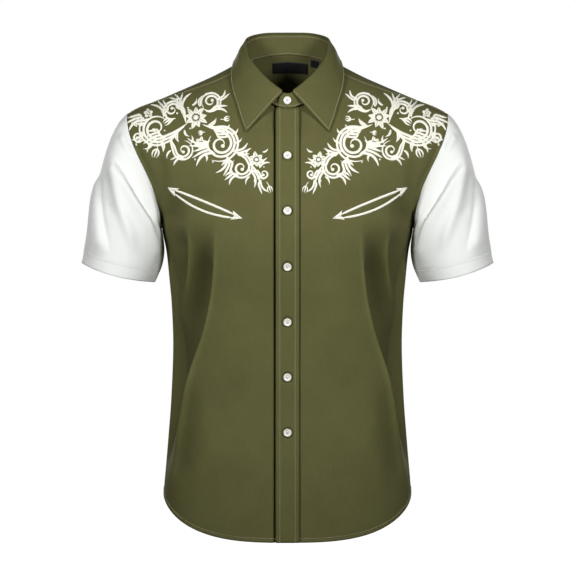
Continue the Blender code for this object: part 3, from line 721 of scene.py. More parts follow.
def finish(name):
    """One of the shirt's finishes, made the first time it is asked for."""
    made = bpy.data.materials.get(name)
    if made is None:
        made, tree = new_material(name)
        cloth, trim = bpy.context.scene.shirt_cloth, bpy.context.scene.shirt_trim
        maker, *settings = {
            "olive_poplin": (poplin, cloth.olive_light, cloth.olive_dark, cloth.weave,
                             0.8, 0.03, 0.3),
            "white_poplin": (poplin, cloth.white_light, cloth.white_dark, cloth.weave,
                             0.85, 0.1, 0.22),
            "ivory_satin_thread": (satin_thread, trim.embroidery, trim.embroidery_shade),
            "khaki_spun_thread": (spun_thread, trim.sewing),
            "white_spun_thread": (spun_thread, cloth.white_dark),
            "polished_button_resin": (button_resin, trim.button, linear("#e2e1d8")),
            "black_label_weave": (label_weave, trim.label, linear("#0c0c0d")),
        }[name]
        maker(tree, *settings)
    return made


# Making meshes

MERGE = 0.00001  # points closer than this are one, in metres, and on fine trims
FINE_MERGE = 0.000002


def lattice(rows, closed=False):
    """Faces that join a grid of points, numbered row by row."""
    down, across = rows.shape[:2]
    faces = []
    for i in range(down - 1):
        for j in range(across if closed else across - 1):
            k = (j + 1) % across
            faces.append((i * across + j, i * across + k,
                          (i + 1) * across + k, (i + 1) * across + j))
    return faces


def linked(name, data):
    """A new object in the scene."""
    made = bpy.data.objects.new(name, data)
    bpy.context.scene.collection.objects.link(made)
    return made


def new_object(name, mesh, finish):
    mesh.materials.append(finish)
    return linked(name, mesh)


def flat_map_of(rows):
    """Lay a grid out flat: the distance along each row, and down each column, in mm."""
    u = run_along(rows, 1)
    middle = rows.shape[1] // 2
    return np.stack([u - u[:, middle:middle + 1], run_along(rows)], axis=-1)


def place_map(rows):
    """A flat map taken straight from the front view: x and height, in mm."""
    return rows[..., [0, 2]].copy()


def cloth_object(name, grids, wall, finish, outward, flat=flat_map_of, closed=False, worn_and_shaded=None):
    """A cloth wall: grids of points joined into one sheet, thickened on its inner side.

    flat lays a grid out as the cloth was cut, in mm. outward is a rough outward direction at the
    first grid's middle. worn says, at each point of its one grid, how much the cloth wears paler
    with painted highlight on creases' lips, and how much painted shade it gets in their hollows.
    """
    bm = bmesh.new()
    uv = bm.loops.layers.uv.new("cloth")
    # A layer per point: paler crease lips, partly rubbing and partly painted highlight, and
    # painted shade in their hollows.
    wear = bm.verts.layers.float.new("wear")
    for rows in grids:
        places = flat(rows) * MM
        once_round = places[0, -1] + places[0, 1] - 2 * places[0, 0]
        places = places.reshape(-1, 2)
        verts = [bm.verts.new(point) for point in rows.reshape(-1, 3) * MM]
        if worn_and_shaded is not None:
            for vert, share in zip(verts, worn_and_shaded.ravel()):
                vert[wear] = share
        across = rows.shape[1]
        for corners in lattice(rows, closed):
            face = bm.faces.new([verts[k] for k in corners])
            seam = closed and corners[1] % across == 0
            for corner, loop in zip(corners, face.loops):
                past = seam and corner % across == 0
                loop[uv].uv = places[corner] + once_round * past
    bmesh.ops.remove_doubles(bm, verts=bm.verts, dist=MERGE)
    bmesh.ops.recalc_face_normals(bm, faces=bm.faces)
    rows = grids[0]
    middle = Vector(rows[rows.shape[0] // 2, rows.shape[1] // 2] * MM)
    nearest = min(bm.faces, key=lambda face: (face.calc_center_median() - middle).length)
    if nearest.normal.dot(Vector(outward)) < 0:
        bmesh.ops.reverse_faces(bm, faces=bm.faces)
    mesh = bpy.data.meshes.new(name)
    bm.to_mesh(mesh)
    bm.free()
    mesh.shade_smooth()
    made = new_object(name, mesh, finish)
    solidify = made.modifiers.new("wall", "SOLIDIFY")
    solidify.thickness = wall * MM
    solidify.offset = -1.0
    solidify.use_even_offset = True
    return made


def tube_faces(first, count, along):
    """Faces of a closed tube: its points, numbered from first, run along it, line by line."""
    grid = first + np.arange(count * along).reshape(count, along)
    beside = np.roll(grid, -1, axis=0)
    sides = np.stack([grid[:, :-1], grid[:, 1:], beside[:, 1:], beside[:, :-1]], axis=-1)
    return [*sides.reshape(-1, 4).tolist(), grid[:, 0].tolist(), grid[::-1, -1].tolist()]


def closed_mesh(name, verts, faces, flat=None):
    """A smooth closed mesh, its faces turned outward, with a flat map where it has one."""
    mesh = bpy.data.meshes.new(name)
    mesh.from_pydata((np.asarray(verts) * MM).tolist(), [], faces)
    if flat is not None:
        uv = mesh.uv_layers.new(name="cloth")
        corners = np.fromiter((loop.vertex_index for loop in mesh.loops), dtype=int)
        uv.data.foreach_set("uv", (flat[corners] * MM).astype(np.float32).ravel())
    bm = bmesh.new()
    bm.from_mesh(mesh)
    bmesh.ops.remove_doubles(bm, verts=bm.verts, dist=FINE_MERGE)
    bmesh.ops.recalc_face_normals(bm, faces=bm.faces)
    bm.to_mesh(mesh)
    bm.free()
    mesh.shade_smooth()
    return mesh


def keep(piece, slot, *nodes):
    """Ride a finished piece on the shirt, in place of its solids. slot is not used."""
    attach(piece, "root")
    if nodes:
        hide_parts(*nodes)
    return piece


# Cloth pieces

FRONT_LOWER_ROWS = 104
FRONT_UPPER_ROWS = 84
FRONT_NECK_COLUMNS = 16
FRONT_SIDE_COLUMNS = 104
HEM_ROWS = np.array((0.0055, 0.0085, 0.0110, 0.0135, 0.0165))  # closer rows, up from the hem
LAP_COLUMNS = (12.0, 27.0, 0.9)  # closer columns beside the placket: from, to, step in mm
COLUMN_CLEAR = 0.004  # least gap between a close column and another
BACK_LOWER_ROWS = 98
BACK_UPPER_ROWS = 33
BACK_COLUMNS = 110

# Hollows pressed into the cloth: how deep, mm, and from where their middle is measured
Hollow = namedtuple("Hollow", "depth middle width")
HEM_HOLLOW = Hollow(0.35, 0.6, 1.1)  # from the hem's top
FREE_EDGE_HOLLOW = Hollow(6.5, -(PLACKET_WIDTH / 2 + 1.2), 2.1)  # from the centre
SEWN_EDGE_HOLLOW = Hollow(2.7, PLACKET_WIDTH / 2 + 0.8, 1.6)
COLLAR_HOLLOW = Hollow(5.5, -74.0, 26.0)  # from the neck's level,
COLLAR_HOLLOW_ACROSS = Hollow(1.0, 23.0, 8.0)  # and from the centre
HEM_SOFT = 0.8  # half the width of the step at the hem's top
ARMHOLE_HOLLOW = 4.5  # how far a front sinks beside the armhole,
ARMHOLE_HOLLOW_WIDTH = 4.0  # how far from it,
ARMHOLE_HOLLOW_START = 14.0  # over what height it begins, above the underarm,
ARMHOLE_HOLLOW_END = (-128.0, -92.0)  # and the heights it dies out between


def hollow(given, at):
    return given.depth * bell(at, given.middle, given.width)


def hem_raise(face, form, across):
    """The turned-up hem: the cloth is doubled below a line, and stands a little proud."""
    above = form[..., 2] - hem_height(face, across)
    return HEM_RAISE * (1.0 - ease(HEM_BAND - HEM_SOFT, HEM_BAND + HEM_SOFT, above)) \
        - hollow(HEM_HOLLOW, above - HEM_BAND)


def lap_hollow(side, x, z):
    """The fronts dip where the placket's edges press on them, deepest under its free edge, and
    sink further, on both sides, below the collar's points."""
    edge = FREE_EDGE_HOLLOW if side == RIGHT else SEWN_EDGE_HOLLOW
    return -hollow(edge, x) - hollow(COLLAR_HOLLOW, z) * hollow(COLLAR_HOLLOW_ACROSS, np.abs(x))


def armhole_hollow(across, z):
    """A front sinks a little along the lower armhole, where the sleeve's seam stands proud."""
    inward = (1.0 - np.abs(across)) * FRONT_SPREAD / ARMHOLE_HOLLOW_WIDTH
    where = ease(PIT_HEIGHT, PIT_HEIGHT + ARMHOLE_HOLLOW_START, z) \
        * (1.0 - ease(*ARMHOLE_HOLLOW_END, z))
    return -ARMHOLE_HOLLOW * inward * np.exp(1.0 - inward) * where


def rise_grid(lower, upper, top):
    """Rises of a panel's rows: level up to the underarm, then in step up to its top edge."""
    return np.concatenate([np.repeat(lower[:, None], len(top), axis=1), upper[:, None] * top])


def front_panel(name, side, finish):
    """A front, from its centre edge to the side seam and armhole, up to neck and yoke seam."""
    corner = neck_across(yoke_front_rise(0.0))
    angles = np.linspace(0.0, math.asin(corner / NECK_ACROSS), FRONT_NECK_COLUMNS + 1)
    columns = NECK_ACROSS * np.sin(angles)
    close = np.arange(*LAP_COLUMNS)
    close = body_place(FRONT, close, np.full(close.shape, PIT_HEIGHT))[0]
    outside = (columns < close[0] - COLUMN_CLEAR) | (columns > close[-1] + COLUMN_CLEAR)
    columns = np.sort(np.concatenate([columns[outside], close]))
    start = FRONT_START[side]
    columns = np.concatenate([[start], columns[columns > start + COLUMN_CLEAR]])
    columns = np.concatenate([columns, np.linspace(columns[-1], 1.0, FRONT_SIDE_COLUMNS + 1)[1:]])
    lower = np.linspace(-1.0, 0.0, FRONT_LOWER_ROWS + 1)[:-1]
    lower = np.unique(np.concatenate([lower, -1.0 + HEM_ROWS]))
    upper = (1 - np.cos(np.pi * np.arange(FRONT_UPPER_ROWS + 1) / FRONT_UPPER_ROWS)) / 2
    rises = rise_grid(lower, upper, front_top(columns))
    across = np.broadcast_to(side * trimmed(columns), rises.shape)
    form = body_form(FRONT, across, rises)
    extra = hem_raise(FRONT, form, across) + lap_hollow(side, form[..., 0], form[..., 2]) \
        + armhole_hollow(across, form[..., 2])
    return panel(name, FRONT, across, rises, extra, finish)


def back_panel(finish):
    columns = np.linspace(-1.0, 1.0, BACK_COLUMNS + 1)
    rises = rise_grid(np.linspace(-1.0, 0.0, BACK_LOWER_ROWS + 1)[:-1],
                      np.linspace(0, 1, BACK_UPPER_ROWS + 1),
                      yoke_back_rise(columns) - SEAM_RISE)
    across = np.broadcast_to(trimmed(columns), rises.shape)
    extra = hem_raise(BACK, body_form(BACK, across, rises), across)
    return panel("back_cloth", BACK, across, rises, extra, finish)


def panel(name, face, across, rises, extra, finish):
    rows = lapped(cloth_at(face, across, rises, extra), face, across)
    # Painted shade in the crease hollows, and paler lips, partly rubbing and partly painted
    # highlight.
    worn_and_shaded = wear_and_shade_of(face, body_form(face, across, rises), across)
    return cloth_object(name, [rows], CLOTH, finish, (0, face, 0), worn_and_shaded=worn_and_shaded)


def yoke_piece(finish):
    """Yoke: over the back of the neck in the middle, over both shoulders at the sides."""
    shares = 1 - (1 - np.linspace(0, 1, 29)) ** 1.6  # rows closer near the ridge
    sides = np.linspace(0, 1, 45)
    arcs = NECK_ACROSS * np.sin(np.radians(np.linspace(90, 180, 25)))
    middle = np.concatenate([-arcs, arcs[::-1][1:]])
    low = yoke_back_rise(middle)
    high = neck_rise(BACK, middle)
    rises = blend(low[None, :], high[None, :], shares[:, None])
    grids = [cloth_at(BACK, np.broadcast_to(middle, rises.shape), rises)]
    for side in (RIGHT, LEFT):
        columns = blend(NECK_ACROSS, 1.0, sides)
        rises = blend(yoke_back_rise(columns)[None, :], 1.0, shares[:, None])
        across = np.broadcast_to(side * trimmed(columns), rises.shape)
        grids.append(cloth_at(BACK, across, rises,
                              share=1.0 - ease(0.9, 1.0, shares)[:, None]))
        rows = []
        for t in np.linspace(0, 1, 13):
            edge = neck_across(blend(1.0, yoke_front_rise(0.0), t))
            columns = blend(edge, 1.0, sides)
            rises = blend(1.0, yoke_front_rise(columns), t)
            rows.append(cloth_at(FRONT, side * trimmed(columns), rises,
                                 share=ease(0.0, 0.4, t)))
        grids.append(np.array(rows))
    return cloth_object("yoke_cloth", grids, CLOTH, finish, (0, 1, 0.5),
                        lambda rows: place_map(rows) + rows[..., [1]])


# Sleeves

PIT_HOLLOW = 8.0  # how far the sleeve's front sinks beside the armhole's foot,
PIT_ANGLE = (2.35, 0.42)  # middle and width, in radians round the sleeve
PIT_ALONG = (0.13, 0.13)  # and along it
PIT_CLEAR = 4.5  # between the sleeve's inner side and the body's,
PIT_CLEAR_HEIGHTS = (-250.0, -222.0)  # growing to that between these
PIT_YIELD = 1.6  # how softly the cloth gives way there
PRESSED_FROM = (-292.0, -262.0)  # heights between which the body begins to press
PRESSED_UP_TO = (-196.0, -172.0)  # and stops
FORWARD = (-0.25, 0.35)  # sines of the angle, from creases of the back to the front's
SLEEVES_DIFFER = 0.8  # how far their creases are shifted, to opposite sides
CREASE_START = 0.10  # shares along the sleeve, or round from its inner side, by which
HOLLOW_START = 0.06  # the creases, the hollow and the press begin in full
PRESS_START = 0.08
SLEEVE_COLUMNS = 208
SLEEVE_ROWS = 90


def sleeve_form(angle, along):
    """The sleeve's smooth form, for the wearer's left: the angle runs from the shoulder over
    the front, and along from the armhole to the cuff."""
    turn_share = (1 + np.cos(angle)) / 2
    sideways = np.sin(angle)
    start = np.stack([smooth(ARMHOLE, "rise", "half_width", turn_share) + SLEEVE_GAP,
                      -ARMHOLE_DEPTH * sideways,
                      blend(PIT_HEIGHT, SHOULDER_HEIGHT, turn_share)], axis=-1)
    centre = (CUFF_OUTER + CUFF_INNER) / 2
    out = (CUFF_OUTER - CUFF_INNER) / 2
    end = (centre + out * np.cos(angle)[..., None]
           + CUFF_AXIS * CUFF_DIP * (sideways ** 2)[..., None])
    end[..., 1] -= CUFF_HALF_DEPTH * sideways
    top = turn_share[..., None]
    leave = blend(HEAD_BOTTOM, HEAD_TOP, top)
    swing = np.stack([np.full(angle.shape, HEAD_SIDE[0]), -HEAD_SIDE[1] * sideways,
                      np.full(angle.shape, HEAD_SIDE[2])], axis=-1)
    leave = leave + swing * np.abs(sideways)[..., None]
    length = np.linalg.norm(end - start, axis=-1, keepdims=True)
    first = unit(leave) * length * blend(*HEAD_REACH, top)
    final = blend(CUFF_AXIS, CUFF_AXIS_INNER, (1 - top) ** 3) * length
    return hermite(start, first, end, final, along[..., None])


def sleeve_normal(angle, along):
    round_it = sleeve_form(angle + STEP, along) - sleeve_form(angle - STEP, along)
    low = np.clip(along - STEP, 0, 1)
    high = np.clip(along + STEP, 0, 1)
    down = sleeve_form(angle, high) - sleeve_form(angle, low)
    return unit(np.cross(down, round_it))


def pressed_out(x, z):
    """How far the body's side pushes out the sleeve lying against it, below the armhole."""
    edge = half_width_at((z - PIT_HEIGHT) / (SHOULDER_HEIGHT - PIT_HEIGHT), z)
    short = (edge - PIT_YIELD + PIT_CLEAR * ease(*PIT_CLEAR_HEIGHTS, z) - x) / PIT_YIELD
    return PIT_YIELD * np.logaddexp(0.0, short) * ease(*PRESSED_FROM, z) \
        * (1.0 - ease(*PRESSED_UP_TO, z))


def on_sleeve(side, angle, along, out=0.0):
    """Points of the creased sleeve, moved out, on the wearer's right or left."""
    form = sleeve_form(angle, along)
    total = np.zeros(angle.shape)
    forward = ease(*FORWARD, np.sin(angle))
    x = form[..., 0] - SLEEVES_DIFFER * side
    for face, weight in ((FRONT, forward), (BACK, 1.0 - forward)):
        for crease in SLEEVE_CREASES[face]:
            total += crease_depth(crease, x, form[..., 2]) * weight
    total *= ease(0.0, CREASE_START, along) * ease(0.0, CREASE_START, (1 + np.cos(angle)) / 2)
    length = np.linalg.norm(sleeve_form(angle, np.ones_like(along)) - form, axis=-1)
    total += HEM_RAISE * (1.0 - ease(CUFF_BAND - HEM_SOFT, CUFF_BAND + HEM_SOFT, length))
    total -= PIT_HOLLOW * bell(angle, *PIT_ANGLE) * bell(along, *PIT_ALONG) \
        * ease(0.0, HOLLOW_START, along)
    points = form + sleeve_normal(angle, along) * (total + out)[..., None]
    points[..., 0] += pressed_out(points[..., 0], points[..., 2]) * ease(0.0, PRESS_START, along)
    return points * np.array((side, 1.0, 1.0))


def sleeve_piece(name, side, finish):
    angles = np.linspace(0, math.tau, SLEEVE_COLUMNS + 1)[:-1]
    along = np.linspace(0, 1, SLEEVE_ROWS + 1) ** 1.1  # rows closer near the armhole
    angle, share = np.meshgrid(angles, along)
    rows = on_sleeve(side, angle, share)
    return cloth_object(name, [rows], CLOTH, finish, (-side, 0, 0), closed=True)


# Collar. Degrees round it start at the centre front, and go by the wearer's right on the stand,
# whose left end laps over its right.

STAND_ENDS = (-10.0, 371.0)
STAND_LAP_AROUND = (290, 345)  # degrees over which it comes out to lap
STAND_ROUND = 0.42  # share of its height that its ends round off,
STAND_ROUND_WIDTH = 9.0  # over this many degrees
STAND_BOW = 0.5
AHEAD = 4  # degrees between the points that its directions come from


def neck_seam(around):
    """Points of the neck seam, on the wearer's left, degrees from the centre front."""
    across = NECK_ACROSS * np.sin(np.radians(around))
    front = body_form(FRONT, across, neck_rise(FRONT, across))
    back = body_form(BACK, across, neck_rise(BACK, across))
    return np.where((around <= 90)[..., None], front, back)


def fold_line(around):
    return np.stack([smooth(COLLAR, "around", key, around)
                     for key in ("fold_x", "fold_y", "fold_z")], axis=-1)


def facing_out(vectors, points):
    """Turn each direction to point away from the neck's axis."""
    away = np.sum(vectors[..., :2] * points[..., :2], axis=-1, keepdims=True)
    return unit(np.where(away < 0, -vectors, vectors))


def stand_frame(around):
    """Foot, top and outward direction of the stand, degrees by the wearer's right."""
    turned = np.mod(around, 360.0)
    side = np.where(turned <= 180, -1.0, 1.0)
    local = np.where(turned <= 180, turned, 360 - turned)
    seam = neck_seam(local)
    top = fold_line(local)
    rising = unit(top - seam)
    ahead = neck_seam(np.minimum(local + AHEAD, 180.0)) \
        - neck_seam(np.maximum(local - AHEAD, 0.0))
    out = facing_out(np.cross(ahead, rising), seam)
    lap = STAND_LAP * ease(*STAND_LAP_AROUND, around)[..., None]
    flip = np.stack([side, np.ones_like(side), np.ones_like(side)], axis=-1)
    return (seam + rising * GAP + out * lap) * flip, (top + out * lap) * flip, out * flip


def stand_piece(finish):
    around = np.linspace(*STAND_ENDS, 171)
    low, top, out = stand_frame(around)
    from_end = np.minimum(around - STAND_ENDS[0], STAND_ENDS[1] - around)
    rounded = 1.0 - STAND_ROUND * (1.0 - ease(0.0, STAND_ROUND_WIDTH, from_end)) ** 1.5
    rows = []
    for up in np.linspace(0, 1, 15):
        bow = STAND_BOW * math.sin(math.pi * up)
        rows.append(blend(low, top, (up * rounded)[:, None]) + out * bow)
    rows = np.array(rows)
    return cloth_object("collar_stand_cloth", [rows], DOUBLED, finish, (0, 1, 0))


LEAF_ROLL_OUT = (-1.7, -0.8, 0.4, 1.8, 2.9, 3.6, 3.9)  # over the stand's top edge
LEAF_ROLL_UP = (2.3, 2.8, 3.0, 2.7, 1.8, 0.1, -1.8)
LEAF_POINT = 6.6  # degrees from the centre front to a collar point
LEAF_LIFT = 2.6  # its edge stands this far off the body
LEAF_HIGHEST = 0.96  # rise above which the edge's direction is held
LEAF_LAP_AROUND = (15, 70)  # degrees over which the leaf comes in from the stand's lap


def leaf_edge(around):
    across = smooth(COLLAR, "around", "edge_across", around)
    rise = smooth(COLLAR, "around", "edge_rise", around)
    inner = np.where(rise <= 1.0, rise, 2.0 - rise)
    before = (rise <= 1.0)[..., None]
    point = np.where(before, body_form(FRONT, across, inner), body_form(BACK, across, inner))
    held = np.minimum(inner, LEAF_HIGHEST)
    normal = np.where(before, body_normal(FRONT, across, held), body_normal(BACK, across, held))
    from_ridge = np.minimum(np.abs(rise - 1.0) / RIDGE_REACH, 1.0)
    normal = normal * np.stack([np.ones_like(rise), from_ridge, np.ones_like(rise)], axis=-1)
    lift = LEAF_LIFT + RIDGE_LIFT * (1.0 - from_ridge)
    return point + unit(normal) * lift[..., None]


def leaf_rows(around, shares, out_by=0.0):
    """Rows of the leaf on the wearer's left: over the roll, then down to its edge."""
    top = fold_line(around)
    rising = unit(top - neck_seam(around))
    ahead = fold_line(np.minimum(around + AHEAD, 180.0)) \
        - fold_line(np.maximum(around - AHEAD, 0.0))
    out = facing_out(np.cross(ahead, rising), top)
    top = top + out * (STAND_LAP * (1 - ease(*LEAF_LAP_AROUND, around)))[..., None]
    edge = leaf_edge(around)
    start = top + out * LEAF_ROLL_OUT[-1] + rising * LEAF_ROLL_UP[-1]
    fall = edge - start
    belly = facing_out(np.cross(ahead, fall), top)
    rows = [top + out * (over + out_by) + rising * up
            for over, up in zip(LEAF_ROLL_OUT[:-1], LEAF_ROLL_UP)] if shares is None else []
    for share in (np.linspace(0, 1, 34) if shares is None else shares):
        bow = LEAF_BELLY * math.sin(math.pi * share) \
            + LEAF_WAVE * math.sin(2.5 * math.pi * share)
        rows.append(start + fall * share + belly * (bow + out_by))
    return rows


def leaf_piece(finish):
    half = np.concatenate([np.linspace(LEAF_POINT, 40, 22), np.linspace(40, 180, 66)[1:]])
    rows = []
    for row in leaf_rows(half, None):
        right = row * np.array((-1.0, 1.0, 1.0))
        rows.append(np.concatenate([right, row[::-1][1:]]))
    rows = np.array(rows)
    return cloth_object("collar_leaf_cloth", [rows], DOUBLED, finish, (0, 1, 0.3))


# Placket, pockets' cloth and labels

PLACKET_LIFT = 1.8
PLACKET_INSET = 5.5  # from its edges to its stitching
EDGE_DROP = (0.35, 1.4)  # its edges are lower by this, over this width
FREE_LIFT = (0.7, 6.0)  # and its free side stands off by this, from here outward
STITCHED_HOLLOW = Hollow(0.45, PLACKET_INSET, 1.0)
BUTTON_HOLLOW = Hollow(2.7, 6.4, 1.5)  # pulled in round each button by its thread


def placket_height(x):
    """Height over the fronts: a flat strip whose edges are turned in and stitched down, and
    whose free half stands a little off."""
    from_edge = PLACKET_WIDTH / 2 - np.abs(x)
    edge = EDGE_DROP[0] * (1.0 - ease(0.0, EDGE_DROP[1], from_edge))
    free = FREE_LIFT[0] * ease(FREE_LIFT[1], PLACKET_WIDTH / 2, -x)
    return PLACKET_LIFT - edge - hollow(STITCHED_HOLLOW, from_edge) + free


def on_placket(x, z, out=0.0):
    """Points of the placket's face at given x and heights, with its faint ripples."""
    across, rise = body_place(FRONT, x, z)
    form = body_form(FRONT, across, rise)
    ripple = 0.25 * np.sin(z / 12.5 + 0.6) * np.sin(z / 41.0) + 0.2 * np.sin(x / 6.0 + z / 19.0)
    height = placket_height(x) + relief(FRONT, form) + ripple + out
    for index in range(BUTTONS_ON_PLACKET):
        away = np.hypot(x, z - (BUTTON_TOP - BUTTON_STEP * index))
        height = height - hollow(BUTTON_HOLLOW, away)
    return form + body_normal(FRONT, across, rise) * height[..., None]


def placket_piece(finish):
    half = PLACKET_WIDTH / 2
    xs = np.linspace(-half, half, 45)
    bottom = float(hem_height(FRONT, 0.0))
    top = float(body_height(FRONT, np.array(0.0), np.array(NECK_FRONT_RISE - SEAM_RISE)))
    seats = BUTTON_TOP - BUTTON_STEP * np.arange(BUTTONS_ON_PLACKET)[:, None]
    heights = np.unique(np.concatenate([np.linspace(bottom, top, 170),
                                        (seats + np.linspace(-9.5, 9.5, 20)).ravel()]))
    x, z = np.meshgrid(xs, heights)
    rows = on_placket(x, z)
    return cloth_object("placket_cloth", [rows], DOUBLED, finish, (0, -1, 0), place_map)


Label = namedtuple("Label", "left right below height")
NECK_LABEL = Label(-23.0, 31.0, 8.5, 16.0)
SIZE_TAB = Label(36.0, 48.0, 0.5, 11.5)
LABEL_WALL = 0.5
LABEL_CURL = 0.35


def label_piece(name, label, finish):
    """A bare woven label sewn inside the yoke, just below the neck seam."""
    columns = []
    for x in np.linspace(label.left, label.right, 25):
        across = across_at(BACK, x, np.full(13, NECK_BACK_RISE))
        below = np.linspace(label.below + label.height, label.below, 13)
        rise = neck_rise(BACK, across) - below / NECK_ROOT
        curl = LABEL_CURL * np.sin(np.linspace(0, math.pi, 13))
        form = body_form(BACK, across, rise)
        inside = CLOTH + LABEL_WALL + curl
        columns.append(form - body_normal(BACK, across, rise) * inside[:, None])
    rows = np.array(columns).transpose(1, 0, 2)
    return cloth_object(name, [rows], LABEL_WALL, finish, (0, 1, 0), place_map)


# Raised trims: satin bars, arrowheads and the pocket welts

SATIN_CROWN = ((0.5, 0.0), (0.42, 0.62), (0.0, 1.0), (-0.42, 0.62), (-0.5, 0.0))
SATIN_SINK = 0.3  # its edges go this far into the cloth

Strip = namedtuple("Strip", "places lifts flat")


def ribbon_object(name, strips, place, finish):
    """Closed ribbons joined in one mesh. Each strip holds, row by row across it, the places of
    its points on the cloth, their heights off it and their flat map. Its first and last rows
    are its two edges, which a flat base joins."""
    places = np.concatenate([strip.places.reshape(-1, 2) for strip in strips])
    lifts = np.concatenate([strip.lifts.ravel() for strip in strips])
    flat = np.concatenate([strip.flat.reshape(-1, 2) for strip in strips])
    faces = []
    first = 0
    for strip in strips:
        faces += tube_faces(first, *strip.lifts.shape)
        first += strip.lifts.size
    verts = place(places[:, 0], places[:, 1], lifts)
    return new_object(name, closed_mesh(name, verts, faces, flat), finish)


def left_of(line):
    """Directions square to a line, to its left."""
    return quarter_turn(unit(np.gradient(line, axis=0)))


def satin(line, widths, height, lean=0.0):
    """One satin-stitched stroke along a line of places, as wide as asked at each.

    The stroke is crowned and its edges go a little way into the cloth. lean moves its crown
    towards its left edge.
    """
    line = np.asarray(line, dtype=float)
    left = left_of(line)
    widths = np.broadcast_to(np.asarray(widths, dtype=float), (len(line),))
    run = run_along(line)
    fullness = np.minimum(widths / max(widths.max(), 1e-6) * 1.6, 1.0)
    rows = []
    for offset, up in SATIN_CROWN:
        shifted = offset + lean * (0.25 - offset * offset)
        rows.append((line + left * (widths * shifted)[:, None],
                     height * up * fullness if up else np.full(len(line), -SATIN_SINK),
                     np.stack([run, widths * offset], axis=-1)))
    return Strip(*map(np.array, zip(*rows)))


# Pockets

POCKET_OUTER = (176.0, -175.5)
POCKET_INNER = (64.5, -222.5)
UPPER_SAG = -1.5
LOWER_SAG = 11.5
PIPING_WIDTH = 3.7
PIPING_SPAN = (0.11, 0.89)
WELT_SPAN = (0.16, 0.84)
WELT_INSET = PIPING_WIDTH * 0.35  # from a piping's middle: its edge lies under the piping
WELT_WALL = 0.4
WELT_LIFT = 0.35
WELT_CROWN = 0.25
WELT_HOLLOW = Hollow(0.5, 0.0, 0.14)  # along its upper edge, the pocket's mouth
ARROW_LENGTH = 17.0
ARROW_WIDTH = 14.5
ARROW_NOTCH = 0.78
ARROW_HEIGHT = 1.5
ARROW_CROWN = ((0.0, 0.0), (0.03, 0.75), (0.3, 1.0), (0.65, 0.95), (0.95, 0.6), (1.0, 0.0))
ARROW_AIM = 6.5  # sag of the curve that the arrowheads point along


def on_front(x, z, lift):
    return on_cloth(FRONT, x, z, lift)


def pocket_line(side, share, sag):
    """Points on the chord between a pocket's ends, let down by sag at its middle."""
    share = np.asarray(share, dtype=float)
    x = blend(POCKET_OUTER[0], POCKET_INNER[0], share)
    z = blend(POCKET_OUTER[1], POCKET_INNER[1], share)
    chord = np.array(POCKET_INNER) - np.array(POCKET_OUTER)
    down = unit(quarter_turn(chord))
    drop = sag * 4 * share * (1 - share)
    return np.stack([side * (x + down[0] * drop), z + down[1] * drop], axis=-1)


def piping_piece(name, sag, side, finish):
    shares = np.linspace(*PIPING_SPAN, 61)
    ends = np.minimum(np.linspace(0, 8, 61), np.linspace(8, 0, 61))
    widths = PIPING_WIDTH * (0.5 + 0.5 * ease(0.0, 1.0, ends))
    strip = satin(pocket_line(side, shares, sag), widths, 1.2)
    return ribbon_object(name, [strip], on_front, finish)


def welt_piece(name, side, finish):
    """The crescent of cloth between a pocket's two pipings, pressed flat."""
    shares = np.linspace(*WELT_SPAN, 49)
    rows = []
    for t in np.linspace(0, 1, 9):
        sag = blend(UPPER_SAG + WELT_INSET, LOWER_SAG - WELT_INSET, t)
        line = pocket_line(side, shares, sag)
        lift = WELT_LIFT + WELT_CROWN * math.sin(math.pi * t) - hollow(WELT_HOLLOW, t)
        rows.append(on_front(line[:, 0], line[:, 1], lift))
    return cloth_object(name, [np.array(rows)], WELT_WALL, finish, (0, -1, 0), place_map)


def tack_piece(name, share, side, finish):
    """A stitched arrowhead: satin laid from its spine out to each barb."""
    tip = pocket_line(side, share, 0.0)
    towards = unit(pocket_line(side, 0.5, ARROW_AIM) - tip)
    across = quarter_turn(towards)
    notch = tip + towards * ARROW_LENGTH * ARROW_NOTCH
    steps = np.linspace(0, 1, 15)
    strips = []
    for way in (-1, 1):
        barb = tip + towards * ARROW_LENGTH + across * way * ARROW_WIDTH / 2
        inner = blend(tip, notch, steps[:, None])
        outer = blend(tip, barb, steps[:, None])
        width = np.linalg.norm(inner - outer, axis=1)
        rows = [(blend(inner, outer, out),
                 ARROW_HEIGHT * up * np.minimum(steps * 5 + 0.2, 1.0) if up
                 else np.full(len(steps), -SATIN_SINK),
                 np.stack([steps * ARROW_LENGTH, width * out], axis=-1))
                for out, up in ARROW_CROWN]
        strips.append(Strip(*map(np.array, zip(*rows))))
    return ribbon_object(name, strips, on_front, finish)


# Buttons

BUTTON_TOP = -132.0
BUTTON_STEP = 80.0
BUTTONS_ON_PLACKET = 6
BUTTON_FACE = (  # radius and height, from the well's middle out and round the back
    (0.0, 1.55), (1.2, 1.5), (2.3, 1.36), (2.9, 1.34), (3.3, 1.55), (3.65, 2.05), (4.0, 2.45),
    (4.4, 2.68), (4.85, 2.66), (5.3, 2.42), (5.65, 2.0), (5.85, 1.55), (5.85, 1.2), (5.5, 0.75),
    (4.6, 0.5), (0.0, 0.45),
)
HOLE_RADIUS = 0.72
HOLE_OFFSET = 1.2
DRILL_LENGTH = 8.0
BUTTON_TURNS = (4, -7, 12, -3, 20, 9, -14)  # degrees, as each was sewn on


